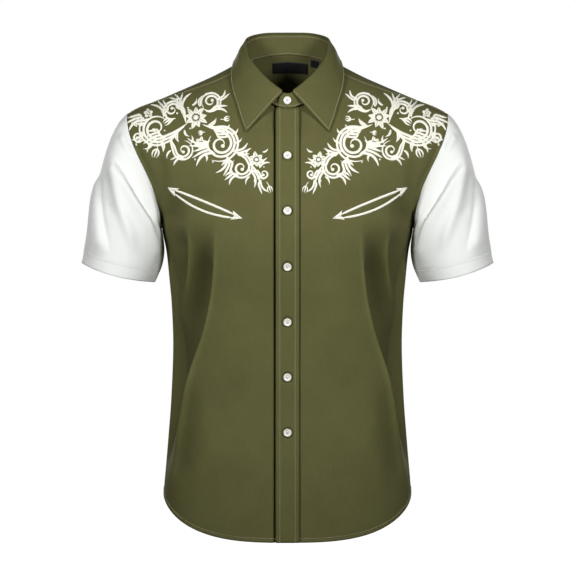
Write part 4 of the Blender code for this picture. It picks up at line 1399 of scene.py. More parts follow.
def button_shape():
    """A turned four-hole button with a raised rim, drilled, standing on the origin."""
    profile = bpy.data.meshes.new("button_profile")
    profile.from_pydata([(radius * MM, 0, height * MM) for radius, height in BUTTON_FACE],
                        [(i, i + 1) for i in range(len(BUTTON_FACE) - 1)], [])
    disc = linked("button_blank", profile)
    turn = disc.modifiers.new("turn", "SCREW")
    turn.steps = turn.render_steps = 48
    turn.use_merge_vertices = True
    turn.merge_threshold = MERGE
    drills = []
    for angle in np.radians((45, 135, 225, 315)):
        bpy.ops.mesh.primitive_cylinder_add(
            vertices=16, radius=HOLE_RADIUS * MM, depth=DRILL_LENGTH * MM,
            location=(HOLE_OFFSET * MM * math.cos(angle), HOLE_OFFSET * MM * math.sin(angle), 0))
        drills.append(bpy.context.object)
        disc.modifiers.new("drill", "BOOLEAN").object = drills[-1]
    ready = disc.evaluated_get(bpy.context.evaluated_depsgraph_get())
    shape = bpy.data.meshes.new_from_object(ready)
    for spent in (disc, *drills):
        bpy.data.objects.remove(spent)
    shape.shade_smooth()
    shape.set_sharp_from_angle(angle=math.radians(40))
    return shape


def button_seat(index):
    """Where a button stands, and the direction it faces: the first is on the stand."""
    if index == 0:
        low, top, out = (v[0] for v in stand_frame(np.array([360.0])))
        return blend(low, top, 0.5) + out * 0.7, out
    z = np.array([BUTTON_TOP - BUTTON_STEP * (index - 1)])
    across, rise = body_place(FRONT, np.zeros(1), z)
    return on_placket(np.zeros(1), z, 0.1)[0], body_normal(FRONT, across, rise)[0]


def placed(shape, base, normal, turn):
    """A copy of a mesh stood on a point, facing along a direction."""
    made = shape.copy()
    spin = Vector(normal).to_track_quat("Z", "Y").to_matrix().to_4x4()
    made.transform(Matrix.Translation(Vector(base) * MM) @ spin
                   @ Matrix.Rotation(math.radians(turn), 4, "Z"))
    return made


THREAD_HEIGHT = 1.60  # of the bars over the button's foot, at the holes,
THREAD_CROWN = 0.34  # and how much higher in the middle
THREAD_LAP = 0.12  # of one bar over the other
THREAD_DIVE = 0.9  # into a hole, at each end
STRAND_RADIUS = 0.17
STRAND_STEP = 0.28  # between the three strands of a bar, half that at its ends


def thread_cross():
    """Sewing thread through a button: two lapped bars over its well, crossing."""
    t = np.linspace(-1, 1, 9)
    turn = math.tau * np.arange(6) / 6
    up = np.array((0.0, 0.0, 1.0))
    verts, faces = [], []
    for angle, lift in ((45, 0.0), (135, THREAD_LAP)):
        ahead = np.array((math.cos(math.radians(angle)), math.sin(math.radians(angle)), 0.0))
        side = np.array((-ahead[1], ahead[0], 0.0))
        height = THREAD_HEIGHT + lift + THREAD_CROWN * (1 - t * t) \
            - THREAD_DIVE * (np.abs(t) == 1)
        rim = STRAND_RADIUS * (np.outer(np.cos(turn), side) + np.outer(np.sin(turn), up))
        for beside in (-STRAND_STEP, 0.0, STRAND_STEP):
            middle = np.outer(HOLE_OFFSET * t, ahead) + np.outer(height, up) \
                + np.outer(beside * (1 - 0.5 * np.abs(t)), side)
            faces += tube_faces(len(verts), len(turn), len(t))
            verts += (rim[:, None] + middle).reshape(-1, 3).tolist()
    return closed_mesh("thread_cross", verts, faces)


# Stitching: rows of thread laid by Geometry Nodes along lines on the cloth

STITCH_GAP = 0.6  # real stitches are 2.5 mm long; all are drawn larger, to show
THREAD_RADIUS = 0.8
THREAD_SINK = 0.05
STITCH_SEED = 11
LEAF_INSET = 2.6  # from the collar leaf's edges
STAND_INSET = 1.4  # degrees from the stand's ends
STAND_ROWS = (2.2, 2.6, 3.4)  # above the neck seam, outside and inside, and below its top
STAND_BOWED = 0.2  # how far the stand's bow carries a row
CORNER_GAP = 0.5  # left between the two rows that meet at its corner
SEWN_ACROSS = 0.985  # rows along the hem and the yoke's back seam end here
PLACKET_ENDS = (2.0, 3.0)  # left unstitched at its foot and at its top
CUFF_INSET = 2.0  # below the cuff band's top
SLEEVE_LENGTH = 170.0  # least, from armhole to cuff
HEM_STITCH_ABOVE = 1.6  # above the turned-up hem's top
SEAM_INSET = 1.8  # from the yoke's seams, and for a second row behind
SECOND_INSET = 7.5


def stitch_tree():
    """Nodes that lay one small spindle of thread per stitch along the edges of a mesh."""
    tree = bpy.data.node_groups.new("stitch_runs", "GeometryNodeTree")

    def socket(name, kind, way="INPUT"):
        return tree.interface.new_socket(
            name, in_out=way, socket_type="NodeSocket" + kind).identifier

    ids = {name: socket(name, kind) for name, kind in (
        ("Runs", "Geometry"), ("Pitch", "Float"), ("Gap", "Float"), ("Radius", "Float"),
        ("Seed", "Int"), ("Thread", "Material"))}
    socket("Stitches", "Geometry", "OUTPUT")
    given = tree.nodes.new("NodeGroupInput").outputs
    curve = add_node(tree, "GeometryNodeMeshToCurve", inputs={"Mesh": given["Runs"]})
    points = add_node(tree, "GeometryNodeCurveToPoints", {"mode": "LENGTH"},
                      {"Curve": curve.outputs["Curve"], "Length": given["Pitch"]})
    aligned = add_node(tree, "FunctionNodeAlignRotationToVector", {"axis": "Z"},
                       {"Vector": points.outputs["Tangent"]})
    wobble = add_node(tree, "FunctionNodeRandomValue", None,
                      {"Min": 0.92, "Max": 1.04, "Seed": given["Seed"]})
    half = sums(tree, "MULTIPLY", sums(tree, "SUBTRACT", given["Pitch"], given["Gap"]), 0.5)
    size = add_node(tree, "ShaderNodeCombineXYZ", inputs={
        "X": given["Radius"], "Y": given["Radius"],
        "Z": sums(tree, "MULTIPLY", half, wobble.outputs["Value"])})
    spindle = add_node(tree, "GeometryNodeMeshUVSphere",
                       inputs={"Segments": 6, "Rings": 4, "Radius": 1.0})
    laid = add_node(tree, "GeometryNodeInstanceOnPoints", inputs={
        "Points": points.outputs["Points"], "Instance": spindle.outputs["Mesh"],
        "Rotation": aligned.outputs["Rotation"], "Scale": size.outputs[0]})
    real = add_node(tree, "GeometryNodeRealizeInstances",
                    inputs={"Geometry": laid.outputs["Instances"]})
    smooth_faces = add_node(tree, "GeometryNodeSetShadeSmooth",
                            inputs={"Geometry": real.outputs[0]})
    coloured = add_node(tree, "GeometryNodeSetMaterial", inputs={
        "Geometry": smooth_faces.outputs[0], "Material": given["Thread"]})
    add_node(tree, "NodeGroupOutput", inputs={"Stitches": coloured.outputs[0]})
    return tree, ids


def stitching(name, runs, thread):
    """Stitches along each run, a line of points in mm, as one plain mesh."""
    verts = np.concatenate(runs) * MM
    edges = []
    first = 0
    for run in runs:
        edges += [(first + i, first + i + 1) for i in range(len(run) - 1)]
        first += len(run)
    lines = bpy.data.meshes.new(name + "_runs")
    lines.from_pydata(verts.tolist(), edges, [])
    drawn = linked(name + "_runs", lines)
    tree, ids = stitch_tree()
    nodes = drawn.modifiers.new("stitches", "NODES")
    nodes.node_group = tree
    for label, value in (("Pitch", bpy.context.scene.shirt_trim.stitch),
                         ("Gap", STITCH_GAP * MM), ("Radius", THREAD_RADIUS * MM),
                         ("Seed", STITCH_SEED), ("Thread", thread)):
        nodes[ids[label]] = value
    bpy.context.view_layer.update()
    graph = bpy.context.evaluated_depsgraph_get()
    mesh = bpy.data.meshes.new_from_object(drawn.evaluated_get(graph))
    mesh.name = name
    bpy.data.objects.remove(drawn)
    bpy.data.node_groups.remove(tree)
    mesh.materials.clear()
    return new_object(name, mesh, thread)


def at_distance(lines, runs, distance):
    """The point of each line at a distance along it, with whatever its points carry."""
    return np.array([[np.interp(distance, run, line[:, k]) for k in range(line.shape[1])]
                     for line, run in zip(lines, runs)])


def inset_line(rows, inset):
    """A line on a grid, inset from its first column and its last row, meeting in a corner; the
    grid's first row is left open."""
    from_side = run_along(rows, 1)
    from_end = run_along(rows[::-1])[::-1]
    down = at_distance(np.dstack([rows, from_end]), from_side, inset)
    columns = np.dstack([rows, from_side])[::-1].transpose(1, 0, 2)
    along = at_distance(columns, from_end[::-1].T, inset)
    return np.concatenate([part[part[:, 3] > inset + CORNER_GAP, :3] for part in (down, along)])


def hem_stitching(name, face, start, end, thread):
    across = np.linspace(start, end, 161)
    tall = PIT_HEIGHT - hem_height(face, across)
    rise = -1.0 + (HEM_BAND + HEM_STITCH_ABOVE) / tall
    return stitching(name, [cloth_at(face, across, rise, THREAD_SINK)], thread)


def yoke_stitching(thread):
    """Two rows above the back seam, and one above each of the front seams."""
    runs = []
    across = np.linspace(-SEWN_ACROSS, SEWN_ACROSS, 161)
    for above in (SEAM_INSET, SECOND_INSET):
        height = shoulder_height(across) - PIT_HEIGHT
        runs.append(cloth_at(BACK, across, yoke_back_rise(across) + above / height,
                             THREAD_SINK))
    for side in (RIGHT, LEFT):
        columns = np.linspace(neck_across(yoke_front_rise(0.0)) + 0.006, 0.96, 61)
        up = yoke_front_rise(columns) + SEAM_INSET / (SHOULDER_HEIGHT - PIT_HEIGHT)
        runs.append(cloth_at(FRONT, side * columns, np.minimum(up, 0.999), THREAD_SINK))
    return stitching("stitching_yoke", runs, thread)


def leaf_stitching(thread):
    around = np.concatenate([np.linspace(LEAF_POINT, 40, 40), np.linspace(40, 180, 80)[1:]])
    rows = np.array(leaf_rows(around, np.linspace(0, 1, 61), THREAD_SINK))
    line = inset_line(rows, LEAF_INSET)
    return stitching("stitching_collar_leaf",
                     [line * np.array((side, 1.0, 1.0)) for side in (RIGHT, LEFT)], thread)


def stand_stitching(thread):
    """A row round the stand's outer face above the neck seam, and two on its inner face."""
    around = np.linspace(STAND_ENDS[0] + STAND_INSET, STAND_ENDS[1] - STAND_INSET, 241)
    low, top, out = stand_frame(around)
    rising = unit(top - low)
    inside = DOUBLED + THREAD_SINK
    behind = (around > 20) & (around < 340)
    runs = [low + rising * STAND_ROWS[0] + out * (STAND_BOWED + THREAD_SINK),
            low + rising * STAND_ROWS[1] - out * inside,
            (top - rising * STAND_ROWS[2] - out * (inside - STAND_BOWED))[behind]]
    return stitching("stitching_collar_stand", runs, thread)


def placket_stitching(thread):
    bottom = float(hem_height(FRONT, 0.0)) + PLACKET_ENDS[0]
    top = float(body_height(FRONT, np.array(0.0), np.array(NECK_FRONT_RISE))) - PLACKET_ENDS[1]
    heights = np.linspace(bottom, top, 161)
    inset = PLACKET_WIDTH / 2 - PLACKET_INSET
    runs = [on_placket(np.full(161, side * inset), heights, THREAD_SINK)
            for side in (RIGHT, LEFT)]
    return stitching("stitching_placket", runs, thread)


def cuff_stitching(name, side, thread):
    """One row round the cuff's turned-up band, found by closing in on its distance."""
    angle = np.linspace(0.0, math.tau, 181)
    share = np.ones_like(angle)
    for _ in range(12):
        left = np.linalg.norm(sleeve_form(angle, np.ones_like(share))
                              - sleeve_form(angle, share), axis=-1)
        share += (left - CUFF_BAND + CUFF_INSET) / SLEEVE_LENGTH
    return stitching(name, [on_sleeve(side, angle, share, THREAD_SINK)], thread)


# Embroidery: a scroll of stems, curls, leaves and flowers over the chest, drawn for the
# wearer's left by distance from the centre and height, and mirrored for the right. The bare
# numbers in a motif's function are shares of its own length, width or radius.

STRAND_GAP = 1.15  # between strands' middles, as a share of their width
PETAL_ROOT = 0.3  # how far out petals begin, as a share of a flower's radius


def rounded_ends(share):
    """Shares of a stroke's width that round off both of its ends."""
    return np.sqrt(np.clip(np.minimum(share + 0.004, 1.004 - share) / 0.05, 0.02, 1.0))


def width_curve(count, widest, base=0.12):
    """Widths of a stroke that swells and comes to a point, fuller near its start."""
    t = np.linspace(0, 1, count)
    return widest * np.maximum(np.sin(np.pi * (base + (1 - base) * t) ** 0.8), 0.05)


def bowed(start, end, bow, count):
    """A line from start to end, bowed to its left by a share of its length."""
    start, end = np.asarray(start, dtype=float), np.asarray(end, dtype=float)
    t = np.linspace(0, 1, count)[:, None]
    chord = end - start
    return start + chord * t + quarter_turn(chord) * bow * 4 * t * (1 - t)


def comma(start, end, bow, width):
    return [satin(bowed(start, end, bow, 9), width_curve(9, width), 0.95, lean=0.5)]


def leaf(start, end, bow, width):
    """A leaf in two halves, with a groove for its midrib between them."""
    spine = bowed(start, end, bow, 11)
    left = left_of(spine)
    half = width_curve(11, width / 2, 0.06)
    return [satin(spine + left * (way * half * 0.52)[:, None], half * 0.98, 1.0)
            for way in (-1, 1)]


def knot(centre, radius):
    """A round padded dot."""
    t = np.linspace(-0.98, 0.98, 7)
    line = np.asarray(centre, dtype=float) + np.stack([t * radius, t * 0.0], axis=-1)
    return [satin(line, 2 * radius * np.sqrt(1 - t * t), 1.25)]


def strands_along(line, count, width, side):
    """Strands laid beside each other along a line, each outer one shorter than the last and
    turning away at its tip, as in a scrolled leaf."""
    made = []
    gap = width * STRAND_GAP
    for i in range(count):
        part = line[int(len(line) * 0.07 * i):int(len(line) * (1.0 - 0.15 * i))]
        share = np.linspace(0, 1, len(part))
        away = i * gap * (0.3 + 0.7 * ease(0.0, 0.3, share)) + (i > 0) * gap * 1.1 * share ** 5
        thick = width * (1.0 - 0.06 * i) * (0.45 + 0.55 * ease(0.0, 0.25, share)) \
            * (1.0 - 0.6 * ease(0.7, 1.0, share)) * rounded_ends(share)
        made.append(satin(part + left_of(part) * (side * away)[:, None], thick, 1.1,
                          lean=0.2 * side))
    return made


def volute(lead, centre, radius, start, turns, count, width):
    """Strands that run along a lead and wind into a spiral round a padded dot."""
    steps = int(10 + 22 * abs(turns))
    t = np.linspace(0, 1, steps)
    angle = math.radians(start) + math.tau * turns * t
    reach = radius * (1.0 - 0.76 * t ** 0.9)
    spiral = np.asarray(centre, dtype=float) \
        + np.stack([np.cos(angle), np.sin(angle)], axis=-1) * reach[:, None]
    line = curve_through(np.vstack([np.asarray(lead, dtype=float), spiral]),
                         steps + 6 * len(lead))
    outward = -1 if turns > 0 else 1
    return strands_along(line, count, width, outward) + knot(line[-1], width * 0.72)


def plume(start, end, bow, count, width):
    """A scrolled leaf: strands that fan out to one side from a single root."""
    side = 1 if bow > 0 else -1
    return strands_along(bowed(start, end, bow, 22), count, width, side)


def flower(centre, radius, petals, turn):
    """Petals in two halves round a padded middle, with stamens between them."""
    centre = np.asarray(centre, dtype=float)
    made = []
    for i in range(petals):
        angle = math.radians(turn) + math.tau * i / petals
        size = radius * (1.0 if i % 2 else 0.86)
        way = np.array((math.cos(angle), math.sin(angle)))
        made += leaf(centre + way * radius * PETAL_ROOT, centre + way * size, 0.05 * (-1) ** i,
                     radius * 3.1 / petals)
        between = angle + math.pi / petals
        out = np.array((math.cos(between), math.sin(between)))
        made += comma(centre + out * radius * PETAL_ROOT * 1.2, centre + out * radius * 0.62,
                      0.04, radius * 0.09)
    return made + knot(centre, radius * PETAL_ROOT * 0.72)


def bud(start, end, bow, width):
    """A closed bud on a short stalk: three strokes that meet at its tip."""
    spine = bowed(start, end, bow, 9)
    left = quarter_turn(unit(spine[-1] - spine[0]))
    base = spine[3]
    made = [satin(spine[:5], 1.2, 0.8)]
    for way in (-1, 0, 1):
        made += comma(base + left * way * width * 0.12, spine[-1] + left * way * width * 0.34,
                      0.22 * way, width * 0.42)
    return made


def scroll():
    """The whole scroll on one side, from the shoulder's end down to the placket."""
    drawn = []
    for motif, rows in ((volute, SCROLL_VOLUTES), (flower, SCROLL_FLOWERS),
                        (plume, SCROLL_PLUMES), (leaf, SCROLL_LEAVES), (comma, SCROLL_COMMAS),
                        (bud, SCROLL_BUDS), (knot, SCROLL_DOTS)):
        for row in rows:
            drawn += motif(*row)
    return drawn


# lead, centre, radius, start, turns, count, width
SCROLL_VOLUTES = (
    (((146, -82), (156, -89), (168, -96)), (193, -88), 17.5, -130, 1.25, 3, 4.1),
    (((124, -84), (112, -89), (99, -93)), (97, -114), 17.0, 127, 1.25, 3, 4.2),
    (((124, -60), (114, -63)), (113, -48), 11.5, 217, -1.2, 2, 3.4),
    (((82, -122), (72, -128), (61, -135)), (67, -149), 12.0, 162, 1.2, 2, 3.6),
    (((148, -82), (152, -70), (156, -61)), (170, -60), 11.0, 156, -1.2, 2, 3.4),
    (((168, -98), (169, -108), (165, -116)), (151, -122), 11.5, -6, -1.2, 2, 3.4),
    (((58, -140), (48, -150), (42, -162)), (34, -158), 7.5, -30, -1.1, 1, 3.1),
    (((208, -104), (218, -108)), (220, -100), 7.5, -90, 1.1, 1, 3.1),
)
# centre, radius, petals, turn
SCROLL_FLOWERS = (
    ((134, -73), 19.0, 9, 8),
    ((45, -137), 12.5, 6, 20),
    ((126, -112), 10.5, 6, 40),
    ((206, -64), 8.5, 5, 10),
)
# start, end, bow, count, width
SCROLL_PLUMES = (
    ((208, -76), (234, -90), 0.24, 3, 4.1),
    ((204, -72), (226, -70), -0.20, 2, 3.5),
    ((176, -104), (206, -124), 0.24, 4, 4.1),
    ((182, -72), (204, -50), 0.22, 3, 3.8),
    ((152, -66), (142, -34), -0.22, 3, 3.8),
    ((158, -58), (176, -40), 0.20, 2, 3.4),
    ((112, -64), (88, -66), -0.22, 2, 3.5),
    ((104, -44), (92, -30), 0.22, 2, 3.2),
    ((108, -92), (84, -84), 0.24, 3, 3.9),
    ((112, -108), (146, -104), -0.18, 2, 3.5),
    ((104, -128), (132, -146), 0.24, 4, 4.2),
    ((88, -130), (104, -156), -0.22, 3, 3.8),
    ((78, -122), (58, -112), 0.22, 3, 3.5),
    ((70, -160), (84, -174), 0.22, 2, 3.5),
    ((56, -152), (48, -178), -0.20, 3, 3.5),
    ((38, -166), (28, -184), 0.20, 2, 3.1),
    ((40, -150), (25, -142), -0.22, 2, 3.0),
    ((150, -134), (166, -144), 0.22, 2, 3.4),
    ((214, -92), (230, -104), -0.22, 2, 3.2),
)
# start, end, bow, width
SCROLL_LEAVES = (
    ((160, -92), (158, -110), 0.18, 6.0),
    ((128, -56), (124, -38), -0.16, 6.0),
    ((116, -86), (104, -74), 0.16, 5.5),
    ((186, -106), (182, -124), -0.14, 6.0),
    ((82, -140), (96, -146), 0.16, 5.0),
    ((222, -84), (232, -78), 0.10, 4.5),
)
SCROLL_COMMAS = (
    ((150, -92), (142, -102), 0.22, 3.9), ((172, -80), (164, -74), -0.20, 3.6),
    ((178, -74), (188, -62), 0.20, 3.6), ((140, -54), (134, -42), 0.2, 3.6),
    ((100, -62), (92, -54), -0.22, 3.3), ((80, -98), (72, -90), 0.2, 3.6),
    ((76, -112), (66, -104), 0.16, 3.3), ((120, -128), (118, -140), -0.2, 3.6),
    ((140, -112), (140, -100), 0.18, 3.3), ((60, -128), (52, -120), -0.16, 3.3),
    ((80, -156), (90, -162), 0.18, 3.3), ((54, -162), (60, -174), 0.2, 3.0),
    ((170, -122), (176, -134), 0.18, 3.3), ((198, -112), (212, -118), -0.18, 3.3),
    ((36, -126), (28, -120), 0.18, 3.0), ((212, -82), (222, -80), -0.16, 3.0),
)
SCROLL_BUDS = (
    ((164, -74), (182, -82), 0.14, 6.5),
    ((120, -96), (130, -98), 0.10, 5.5),
    ((190, -110), (196, -132), -0.10, 6.5),
    ((98, -76), (84, -74), 0.10, 5.5),
    ((30, -170), (24, -186), -0.08, 4.5),
)
SCROLL_DOTS = (
    ((162, -66), 1.5), ((146, -58), 1.4), ((120, -36), 1.3), ((90, -76), 1.4), ((134, -136), 1.4),
    ((180, -92), 1.3), ((214, -72), 1.3), ((64, -120), 1.2), ((48, -168), 1.1), ((34, -148), 1.1),
    ((142, -90), 1.3), ((158, -132), 1.2), ((108, -140), 1.3), ((222, -112), 1.2),
)


def scroll_piece(name, side, finish):
    def on_side(away, z, lift):
        return on_front(side * away, z, lift)

    return ribbon_object(name, scroll(), on_side, finish)


# Cut sizes: a record of a piece of cloth as it lay flat, before it was sewn and filled out.
# Metres, and square metres; what is sewn or laid on it comes last. No piece's cut is recorded.

Cut = namedtuple("Cut", "piece width length area held rests_on laid_on")


# Studio: lamps stand in pairs, one on each side. Metres.

Lamp = namedtuple("Lamp", "place aim size")
KEY_LAMP = Lamp((0.60, -0.95, 0.05), (0.12, -0.05, -0.20), 0.3)
BACK_LAMP = Lamp((0.75, 1.4, 0.15), (0.10, 0.10, -0.30), 0.5)
CAMERA_PLACE = (0.00075, -3.0, -0.3225)
FLOOR_BELOW = 0.4  # the hem
FLOOR_HALF = 6.0


def area_light(name, lamp, side, power):
    """A lamp, on its place or mirrored to the other side."""
    place, aim = (Vector(at) * Vector((side, 1, 1)) for at in (lamp.place, lamp.aim))
    data = bpy.data.lights.new(name, "AREA")
    data.shape = "DISK"
    data.size = lamp.size
    data.energy = power
    made = linked(name, data)
    made.location = place
    made.rotation_mode = "QUATERNION"
    made.rotation_quaternion = (aim - place).to_track_quat("-Z", "Y")
    made.visible_camera = False


def studio_world(ambient):
    """A white room: paper white where it is seen, and dimmer where it lights the cloth."""
    world = bpy.data.worlds.new("studio")
    world.use_nodes = True
    tree = world.node_tree
    tree.nodes.clear()
    path = add_node(tree, "ShaderNodeLightPath")
    level = add_node(tree, "ShaderNodeMapRange", None,
                     {"Value": path.outputs["Is Camera Ray"], "To Min": ambient})
    light = add_node(tree, "ShaderNodeBackground", None,
                     {"Color": linear("#ffffff"), "Strength": level.outputs[0]})
    add_node(tree, "ShaderNodeOutputWorld", inputs={"Surface": light.outputs[0]})
    bpy.context.scene.world = world


def floor():
    """A plain pale floor, far enough below the hem to throw no shade on it."""
    mesh = bpy.data.meshes.new("floor")
    mesh.from_pydata([(x * FLOOR_HALF, y * FLOOR_HALF, CAD_BOX[0][2] - FLOOR_BELOW)
                      for x, y in ((-1, -1), (1, -1), (1, 1), (-1, 1))], [], [(0, 1, 2, 3)])
    made, tree = new_material("floor_paper")
    finish_material(tree, {"Base Color": linear("#f4f4f2"), "Roughness": 0.9,
                           "Emission Color": linear("#ffffff"), "Emission Strength": 1.0})
    ground = new_object("floor", mesh, made)
    ground.visible_diffuse = False
    ground.visible_glossy = False


def camera(place, focal):
    data = bpy.data.cameras.new("camera")
    data.lens = focal
    data.dof.use_dof = False
    made = linked("camera", data)
    made.location = place
    made.rotation_euler = (math.radians(90), 0, 0)
    bpy.context.scene.camera = made


# Add-on classes

def colour_property(name, description, code):
    return FloatVectorProperty(name=name, description=description, subtype="COLOR", size=4,
                               min=0.0, max=1.0, default=linear(code))


class ShirtCloth(bpy.types.PropertyGroup):
    """Colours and weave of the shirt's cloth."""
    olive_light: colour_property(
        "Olive, light", "Yarn colour of the olive cloth where it is palest", "#63623c")
    olive_dark: colour_property(
        "Olive, dark", "Yarn colour of the olive cloth where it is deepest", "#54532e")
    white_light: colour_property(
        "White, light", "Yarn colour of the white sleeves where it is palest", "#e8eae7")
    white_dark: colour_property(
        "White, dark", "Yarn colour of the white sleeves where it is deepest", "#e1e3e0")
    weave: FloatProperty(
        name="Weave", description="Distance between threads, drawn coarser than real",
        subtype="DISTANCE", unit="LENGTH", min=0.0002, max=0.01, default=0.0009)


class ShirtTrim(bpy.types.PropertyGroup):
    """Embroidery, stitching, labels and buttons."""
    embroidery: colour_property("Embroidery", "Colour of the satin stitch", "#fffdf0")
    embroidery_shade: colour_property(
        "Embroidery, shade", "Colour of the satin stitch in its hollows", "#f0efe0")
    sewing: colour_property(
        "Sewing thread", "Colour of the stitching on the olive cloth", "#8b8864")
    stitch: FloatProperty(
        name="Stitch", description="Length from one stitch to the next, longer than real",
        subtype="DISTANCE", unit="LENGTH", min=0.001, max=0.01, default=0.0032)
    button: colour_property("Button", "Colour of the button resin", "#f6f5ee")
    label: colour_property("Label", "Colour of the bare woven labels", "#1b1b1d")


class ShirtStudio(bpy.types.PropertyGroup):
    """Light and camera."""
    key_power: FloatProperty(
        name="Key lights", description="Power of each of the two soft lights before the chest",
        subtype="POWER", unit="POWER", min=0.0, default=8.35)
    back_power: FloatProperty(
        name="Back lights", description="Power of each of the two soft lights behind the back",
        subtype="POWER", unit="POWER", min=0.0, default=14.0)
    ambient: FloatProperty(
        name="Ambient", description="Strength of the even light from all round",
        min=0.0, max=5.0, default=0.05)
    focal: FloatProperty(
        name="Focal length", description="Focal length of the camera, in millimetres",
        min=10.0, max=400.0, default=125.0)


class Undoable:
    """What every operator that makes something shares."""
    bl_options = {"REGISTER", "UNDO"}


class SHIRT_OT_body(Undoable, bpy.types.Operator):
    """Sew the fronts, the back and the yoke"""
    bl_idname = "shirt.body"
    bl_label = "Body"

    def execute(self, context):
        olive = finish("olive_poplin")
        for side, word in SIDES:
            keep(front_panel(f"{word}_front_cloth", side, olive), "olive_cotton",
                 f"{word}_front")
        keep(back_panel(olive), "olive_cotton", "back")
        keep(yoke_piece(olive), "olive_cotton", "yoke")
        return {"FINISHED"}


class SHIRT_OT_sleeves(Undoable, bpy.types.Operator):
    """Sew the two short sleeves"""
    bl_idname = "shirt.sleeves"
    bl_label = "Sleeves"

    def execute(self, context):
        white = finish("white_poplin")
        for side, word in SIDES:
            keep(sleeve_piece(f"sleeve_{word}_cloth", side, white), "white_cotton",
                 f"sleeve_{word}")
        return {"FINISHED"}


class SHIRT_OT_collar(Undoable, bpy.types.Operator):
    """Sew the collar stand and the leaf that turns over it"""
    bl_idname = "shirt.collar"
    bl_label = "Collar"

    def execute(self, context):
        olive = finish("olive_poplin")
        keep(stand_piece(olive), "olive_cotton", "collar_stand")
        keep(leaf_piece(olive), "olive_cotton", "collar_leaf")
        return {"FINISHED"}


class SHIRT_OT_placket(Undoable, bpy.types.Operator):
    """Lay the button band down the middle of the front"""
    bl_idname = "shirt.placket"
    bl_label = "Placket"

    def execute(self, context):
        keep(placket_piece(finish("olive_poplin")), "olive_cotton", "placket")
        return {"FINISHED"}


class SHIRT_OT_pockets(Undoable, bpy.types.Operator):
    """Lay the smile pockets: welts, satin pipings and arrowheads"""
    bl_idname = "shirt.pockets"
    bl_label = "Pockets"

    def execute(self, context):
        olive, satin_white = finish("olive_poplin"), finish("ivory_satin_thread")
        for side, word in SIDES:
            keep(welt_piece(f"pocket_welt_{word}_cloth", side, olive), "olive_cotton",
                 f"pocket_welt_{word}")
            for sag, level in ((UPPER_SAG, "upper"), (LOWER_SAG, "lower")):
                keep(piping_piece(f"pocket_piping_{word}_{level}_satin", sag, side, satin_white),
                     "white_trim", f"pocket_piping_{word}_{level}")
            for share, end in ((0.0, "outer"), (1.0, "inner")):
                keep(tack_piece(f"arrow_tack_{word}_{end}_satin", share, side, satin_white),
                     "white_trim", f"arrow_tack_{word}_{end}")
        return {"FINISHED"}


class SHIRT_OT_embroidery(Undoable, bpy.types.Operator):
    """Embroider the scroll over both sides of the chest"""
    bl_idname = "shirt.embroidery"
    bl_label = "Embroidery"

    def execute(self, context):
        satin_white = finish("ivory_satin_thread")
        for side, word in SIDES:
            keep(scroll_piece(f"embroidery_{word}", side, satin_white), "white_trim")
        return {"FINISHED"}


class SHIRT_OT_buttons(Undoable, bpy.types.Operator):
    """Sew seven four-hole buttons down the front"""
    bl_idname = "shirt.buttons"
    bl_label = "Buttons"

    def execute(self, context):
        resin, thread = finish("polished_button_resin"), finish("white_spun_thread")
        shape, cross = button_shape(), thread_cross()
        for index, turn in enumerate(BUTTON_TURNS):
            name = f"button_{index + 1}"
            seat = (*button_seat(index), turn)
            keep(new_object(f"{name}_turned", placed(shape, *seat), resin), "white_button", name)
            keep(new_object(f"{name}_thread", placed(cross, *seat), thread), "white_button")
        return {"FINISHED"}


class SHIRT_OT_labels(Undoable, bpy.types.Operator):
    """Sew the two bare labels inside the yoke"""
    bl_idname = "shirt.labels"
    bl_label = "Labels"

    def execute(self, context):
        black = finish("black_label_weave")
        keep(label_piece("neck_label_cloth", NECK_LABEL, black), "black_label", "neck_label")
        keep(label_piece("size_tab_cloth", SIZE_TAB, black), "black_label", "size_tab")
        return {"FINISHED"}


class SHIRT_OT_stitching(Undoable, bpy.types.Operator):
    """Stitch the hems, edges and seams"""
    bl_idname = "shirt.stitching"
    bl_label = "Stitching"

    def execute(self, context):
        khaki, white = finish("khaki_spun_thread"), finish("white_spun_thread")
        for side, word in SIDES:
            keep(hem_stitching(f"stitching_{word}_front", FRONT, FRONT_START[side],
                               side * SEWN_ACROSS, khaki), "olive_cotton")
        keep(hem_stitching("stitching_back", BACK, -SEWN_ACROSS, SEWN_ACROSS, khaki),
             "olive_cotton")
        for stitched in (yoke_stitching, leaf_stitching, stand_stitching, placket_stitching):
            keep(stitched(khaki), "olive_cotton")
        for side, word in SIDES:
            keep(cuff_stitching(f"stitching_sleeve_{word}", side, white), "white_cotton")
        return {"FINISHED"}


class SHIRT_OT_cuts(bpy.types.Operator):
    """Stands for noting each piece's cut size, but notes nothing"""
    bl_idname = "shirt.cuts"
    bl_label = "Cut sizes"

    def execute(self, context):
        return {"FINISHED"}


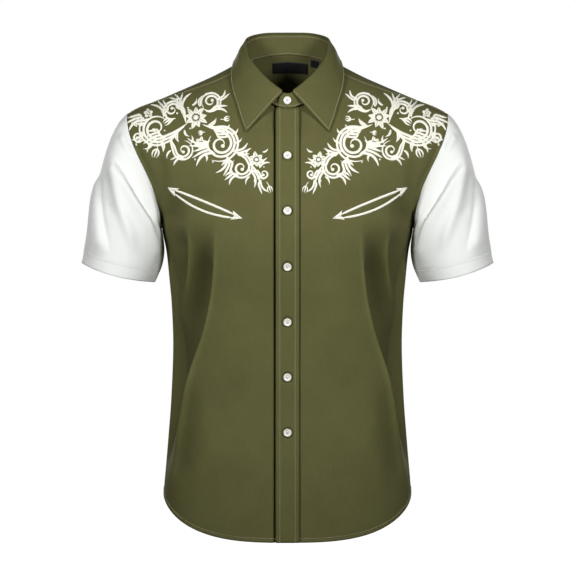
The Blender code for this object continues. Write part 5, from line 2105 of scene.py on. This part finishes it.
class SHIRT_OT_stage(Undoable, bpy.types.Operator):
    """Set up the floor, the soft lights and the camera"""
    bl_idname = "shirt.stage"
    bl_label = "Studio"

    def execute(self, context):
        studio = context.scene.shirt_studio
        context.scene.view_settings.view_transform = "Standard"
        studio_world(studio.ambient)
        floor()
        for side in (-1, 1):
            area_light(f"key_{side}", KEY_LAMP, side, studio.key_power)
            area_light(f"back_{side}", BACK_LAMP, side, studio.back_power)
        camera(CAMERA_PLACE, studio.focal)
        return {"FINISHED"}


class SHIRT_PT_panel(bpy.types.Panel):
    """Sizes, colours and pieces of the shirt"""
    bl_idname = "SHIRT_PT_panel"
    bl_label = "Shirt"
    bl_space_type = "VIEW_3D"
    bl_region_type = "UI"
    bl_category = "Shirt"

    def draw(self, context):
        for title, name in (("Cloth", "shirt_cloth"), ("Trims", "shirt_trim"),
                            ("Studio", "shirt_studio")):
            box = self.layout.box()
            box.label(text=title)
            for setting in GROUPS[name].__annotations__:
                box.prop(getattr(context.scene, name), setting)
        column = self.layout.column(align=True)
        for operator in OPERATORS:
            column.operator(operator.bl_idname)


GROUPS = {"shirt_cloth": ShirtCloth, "shirt_trim": ShirtTrim, "shirt_studio": ShirtStudio}
OPERATORS = (SHIRT_OT_body, SHIRT_OT_sleeves, SHIRT_OT_collar, SHIRT_OT_placket,
             SHIRT_OT_pockets, SHIRT_OT_embroidery, SHIRT_OT_buttons, SHIRT_OT_labels,
             SHIRT_OT_stitching, SHIRT_OT_cuts, SHIRT_OT_stage)


CLASSES = (*GROUPS.values(), *OPERATORS, SHIRT_PT_panel)


def register():
    for made in CLASSES:
        bpy.utils.register_class(made)
    for name, group in GROUPS.items():
        setattr(bpy.types.Scene, name, PointerProperty(type=group))


def unregister():
    for name in GROUPS:
        delattr(bpy.types.Scene, name)
    for made in reversed(CLASSES):
        bpy.utils.unregister_class(made)


def main():
    register()
    for operator in OPERATORS:
        group, name = operator.bl_idname.split(".")
        getattr(getattr(bpy.ops, group), name)()


if __name__ == "__main__":
    main()
